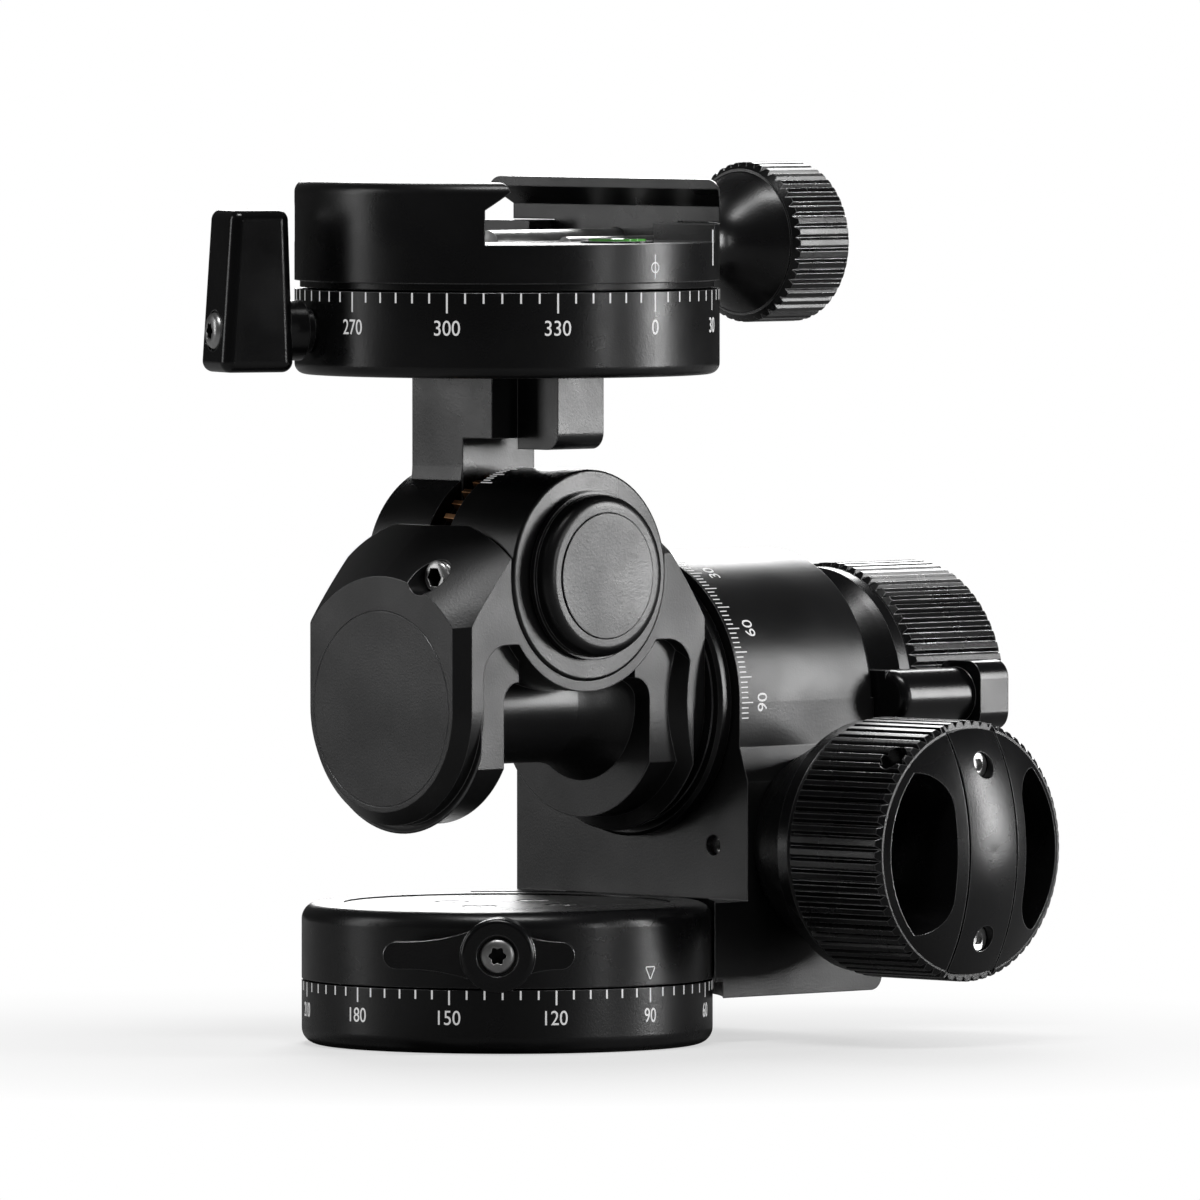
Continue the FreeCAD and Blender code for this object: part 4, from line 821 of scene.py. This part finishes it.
# %% A turned form with a shaped outline
def ring_solid(name, rings, sides, origin, direction):
    """A closed mesh from rings of (along, radius), where a radius may be a function."""
    turn = direction.to_track_quat("Z", "Y").to_matrix()
    bm = bmesh.new()
    made = []
    for along, radius in rings:
        ring = []
        for index in range(sides):
            angle = 2 * math.pi * index / sides
            r = radius(angle) if callable(radius) else radius
            place = turn @ Vector((r * math.cos(angle), r * math.sin(angle), along))
            ring.append(bm.verts.new(origin + place))
        made.append(ring)
    for first, second in zip(made, made[1:]):
        for index in range(sides):
            following = (index + 1) % sides
            bm.faces.new((first[index], first[following], second[following], second[index]))
    bm.faces.new(made[0][::-1])
    bm.faces.new(made[-1])
    bmesh.ops.recalc_face_normals(bm, faces=bm.faces)
    mesh = bpy.data.meshes.new(name)
    bm.to_mesh(mesh)
    bm.free()
    return mesh


def polygon_radius(corners, r):
    """The radius of a regular polygon at an angle."""
    def radius(angle):
        part = 2 * math.pi / corners
        return r * math.cos(part / 2) / math.cos((angle % part) - part / 2)
    return radius


def lobed_radius(lobes, r, depth):
    """The radius of a rounded star at an angle."""
    return lambda angle: r - depth * (1 - math.cos(lobes * angle)) / 2


def smooth_by_angle(made, degrees):
    """Smooth a piece except at its hard edges."""
    made.data.shade_smooth()
    made.data.set_sharp_from_angle(angle=math.radians(degrees))


SCREW_SIDES = 72
SOCKET_RINGS = 3


def darken_socket(made, ring_count):
    """Give the walls and the floor of a socket a dark finish: oil, and painted shade."""
    made.data.materials.append(SOCKET_OIL_AND_SHADE)
    polygons = made.data.polygons
    for polygon in polygons[(ring_count - SOCKET_RINGS) * SCREW_SIDES:-2]:
        polygon.material_index = 1
    polygons[len(polygons) - 1].material_index = 1


print("screws have", SCREW_SIDES, "sides")

# %% [markdown]
# The button heads of the lock levers. The solid has a plain hexagon, but the
# photograph shows a star with six round lobes. The dome is a quarter ellipse, and
# the last three rings are the socket's mouth, its wall and its floor.

# %% Button heads
BUTTON_R = 2.7 * MM
BUTTON_T = 1.5 * MM
DOME_FROM = 0.45 * MM
DOME_RISE = 1.02 * MM
DOME_IN = 1.15 * MM
DOME_STEPS = 9
LAND_R = 1.55 * MM
STAR_R = 1.3 * MM
STAR_DEPTH = 0.32 * MM
STAR_FLOOR = 0.35 * MM


def button_rings():
    """The rings of a button head, from its seat to the floor of its socket."""
    rings = [(0.0, BUTTON_R - 0.25 * MM), (0.12 * MM, BUTTON_R - 0.05 * MM), (0.3 * MM, BUTTON_R)]
    for step in range(1, DOME_STEPS - 1):
        turn = math.radians(90 * step / DOME_STEPS)
        along = DOME_FROM + DOME_RISE * math.sin(turn)
        rings.append((along, BUTTON_R - DOME_IN * (1 - math.cos(turn))))
    rings.append((BUTTON_T, LAND_R))
    star = lobed_radius(6, STAR_R, STAR_DEPTH)
    rings.append((BUTTON_T, lambda angle: star(angle) + 0.1 * MM))
    rings += [(BUTTON_T - 0.1 * MM, star), (STAR_FLOOR + 0.1 * MM, star), (STAR_FLOOR, 0.25 * MM)]
    return rings


def button_screw(name, node_name, body):
    """A domed button head with a star socket, in place of a plain one."""
    low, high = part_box(node_name)
    centre = (low + high) / 2
    direction = Vector((centre.x, centre.y, 0)).normalized()
    rings = button_rings()
    mesh = ring_solid(name, rings, SCREW_SIDES, centre - direction * BUTTON_T / 2, direction)
    made = piece(name, mesh, body, STEEL)
    smooth_by_angle(made, 35)
    darken_socket(made, len(rings))
    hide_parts(node_name)
    return made


for screw, body in (("pan_lever_screw", "pan_lock"), ("top_lever_screw", "top_lock")):
    made = button_screw(screw.replace("lever", "button"), screw, body)
    print(made.name, len(made.data.polygons), "faces")

# %% [markdown]
# The set screw of the roll gear stands a little out of the bridge, so its thread
# shows. The real thread is a helix. Here the radius of each ring swings once round
# the axis, and the swing moves on by one turn for each pitch, which draws the same
# helix without a sweep.

# %% The set screw
THREAD_PITCH = 0.8 * MM
THREAD_DEPTH = 0.42 * MM
SCREW_EDGE = 0.4 * MM
THREAD_RINGS = 44
HEX_R = 1.45 * MM
HEX_DEPTH = 2.5 * MM


def thread_radius(r, along):
    """The radius of the thread round one ring."""
    shift = 2 * math.pi * along / THREAD_PITCH
    return lambda angle: r - THREAD_DEPTH * (0.5 + 0.5 * math.cos(shift - angle))


def set_screw(name, node_name, body):
    """A threaded set screw with a hexagon socket, in place of a smooth one."""
    low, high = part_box(node_name)
    r = (high.x - low.x) / 2
    length = high.y - low.y
    threaded = length - SCREW_EDGE
    rings = []
    for step in range(THREAD_RINGS + 1):
        along = threaded * step / THREAD_RINGS
        rings.append((along, thread_radius(r, along)))
    key = polygon_radius(6, HEX_R)
    rings.append((length, r - THREAD_DEPTH - 0.1 * MM))
    rings.append((length, lambda angle: key(angle) + 0.08 * MM))
    floor = length - HEX_DEPTH
    rings += [(length - 0.1 * MM, key), (floor + 0.1 * MM, key), (floor, 0.2 * MM)]
    origin = Vector(((low.x + high.x) / 2, high.y, (low.z + high.z) / 2))
    mesh = ring_solid(name, rings, SCREW_SIDES, origin, Vector((0, -1, 0)))
    made = piece(name, mesh, body, STEEL)
    smooth_by_angle(made, 50)
    darken_socket(made, len(rings))
    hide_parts(node_name)
    return made


lash_thread = set_screw("lash_thread", "lash_screw", "tilt")
print(lash_thread.name, len(lash_thread.data.polygons), "faces")

# %% [markdown]
# The level is a small capsule of green spirit under a clear window. The liquid is
# the solid itself in its glossy green finish, with a bubble just off the middle and
# a black ring printed round it. Only a sliver of it shows in the photograph.


# %% The level
UP = Vector((0, 0, 1))
SUNK = 0.05 * MM
RING_IN = 1.55 * MM
RING_OUT = 1.75 * MM
RING_UP = 0.02 * MM
BUBBLE_OFF = Vector((0.35, -0.25, 0)) * MM
BUBBLE_RINGS = ((-0.05, 1.25), (0.02, 1.15), (0.08, 0.8), (0.11, 0.3))


def level_top():
    """The middle of the level's window."""
    low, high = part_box("level_vial")
    return Vector(((low.x + high.x) / 2, (low.y + high.y) / 2, high.z))


def level_ring():
    """The printed ring on the window."""
    rings = [(-SUNK, RING_OUT), (RING_UP, RING_OUT), (RING_UP, RING_IN), (-SUNK, RING_IN)]
    mesh = ring_solid("level_ring", rings, 48, level_top(), UP)
    return piece("level_ring", mesh, "clamp", LEVER_BLACK)


def level_bubble():
    """The bubble, a shallow dome."""
    rings = [(along * MM, r * MM) for along, r in BUBBLE_RINGS]
    mesh = ring_solid("level_bubble", rings, 32, level_top() + BUBBLE_OFF, UP)
    return piece("level_bubble", mesh, "clamp", SPIRIT, True)


print("level:", level_ring().name, level_bubble().name)
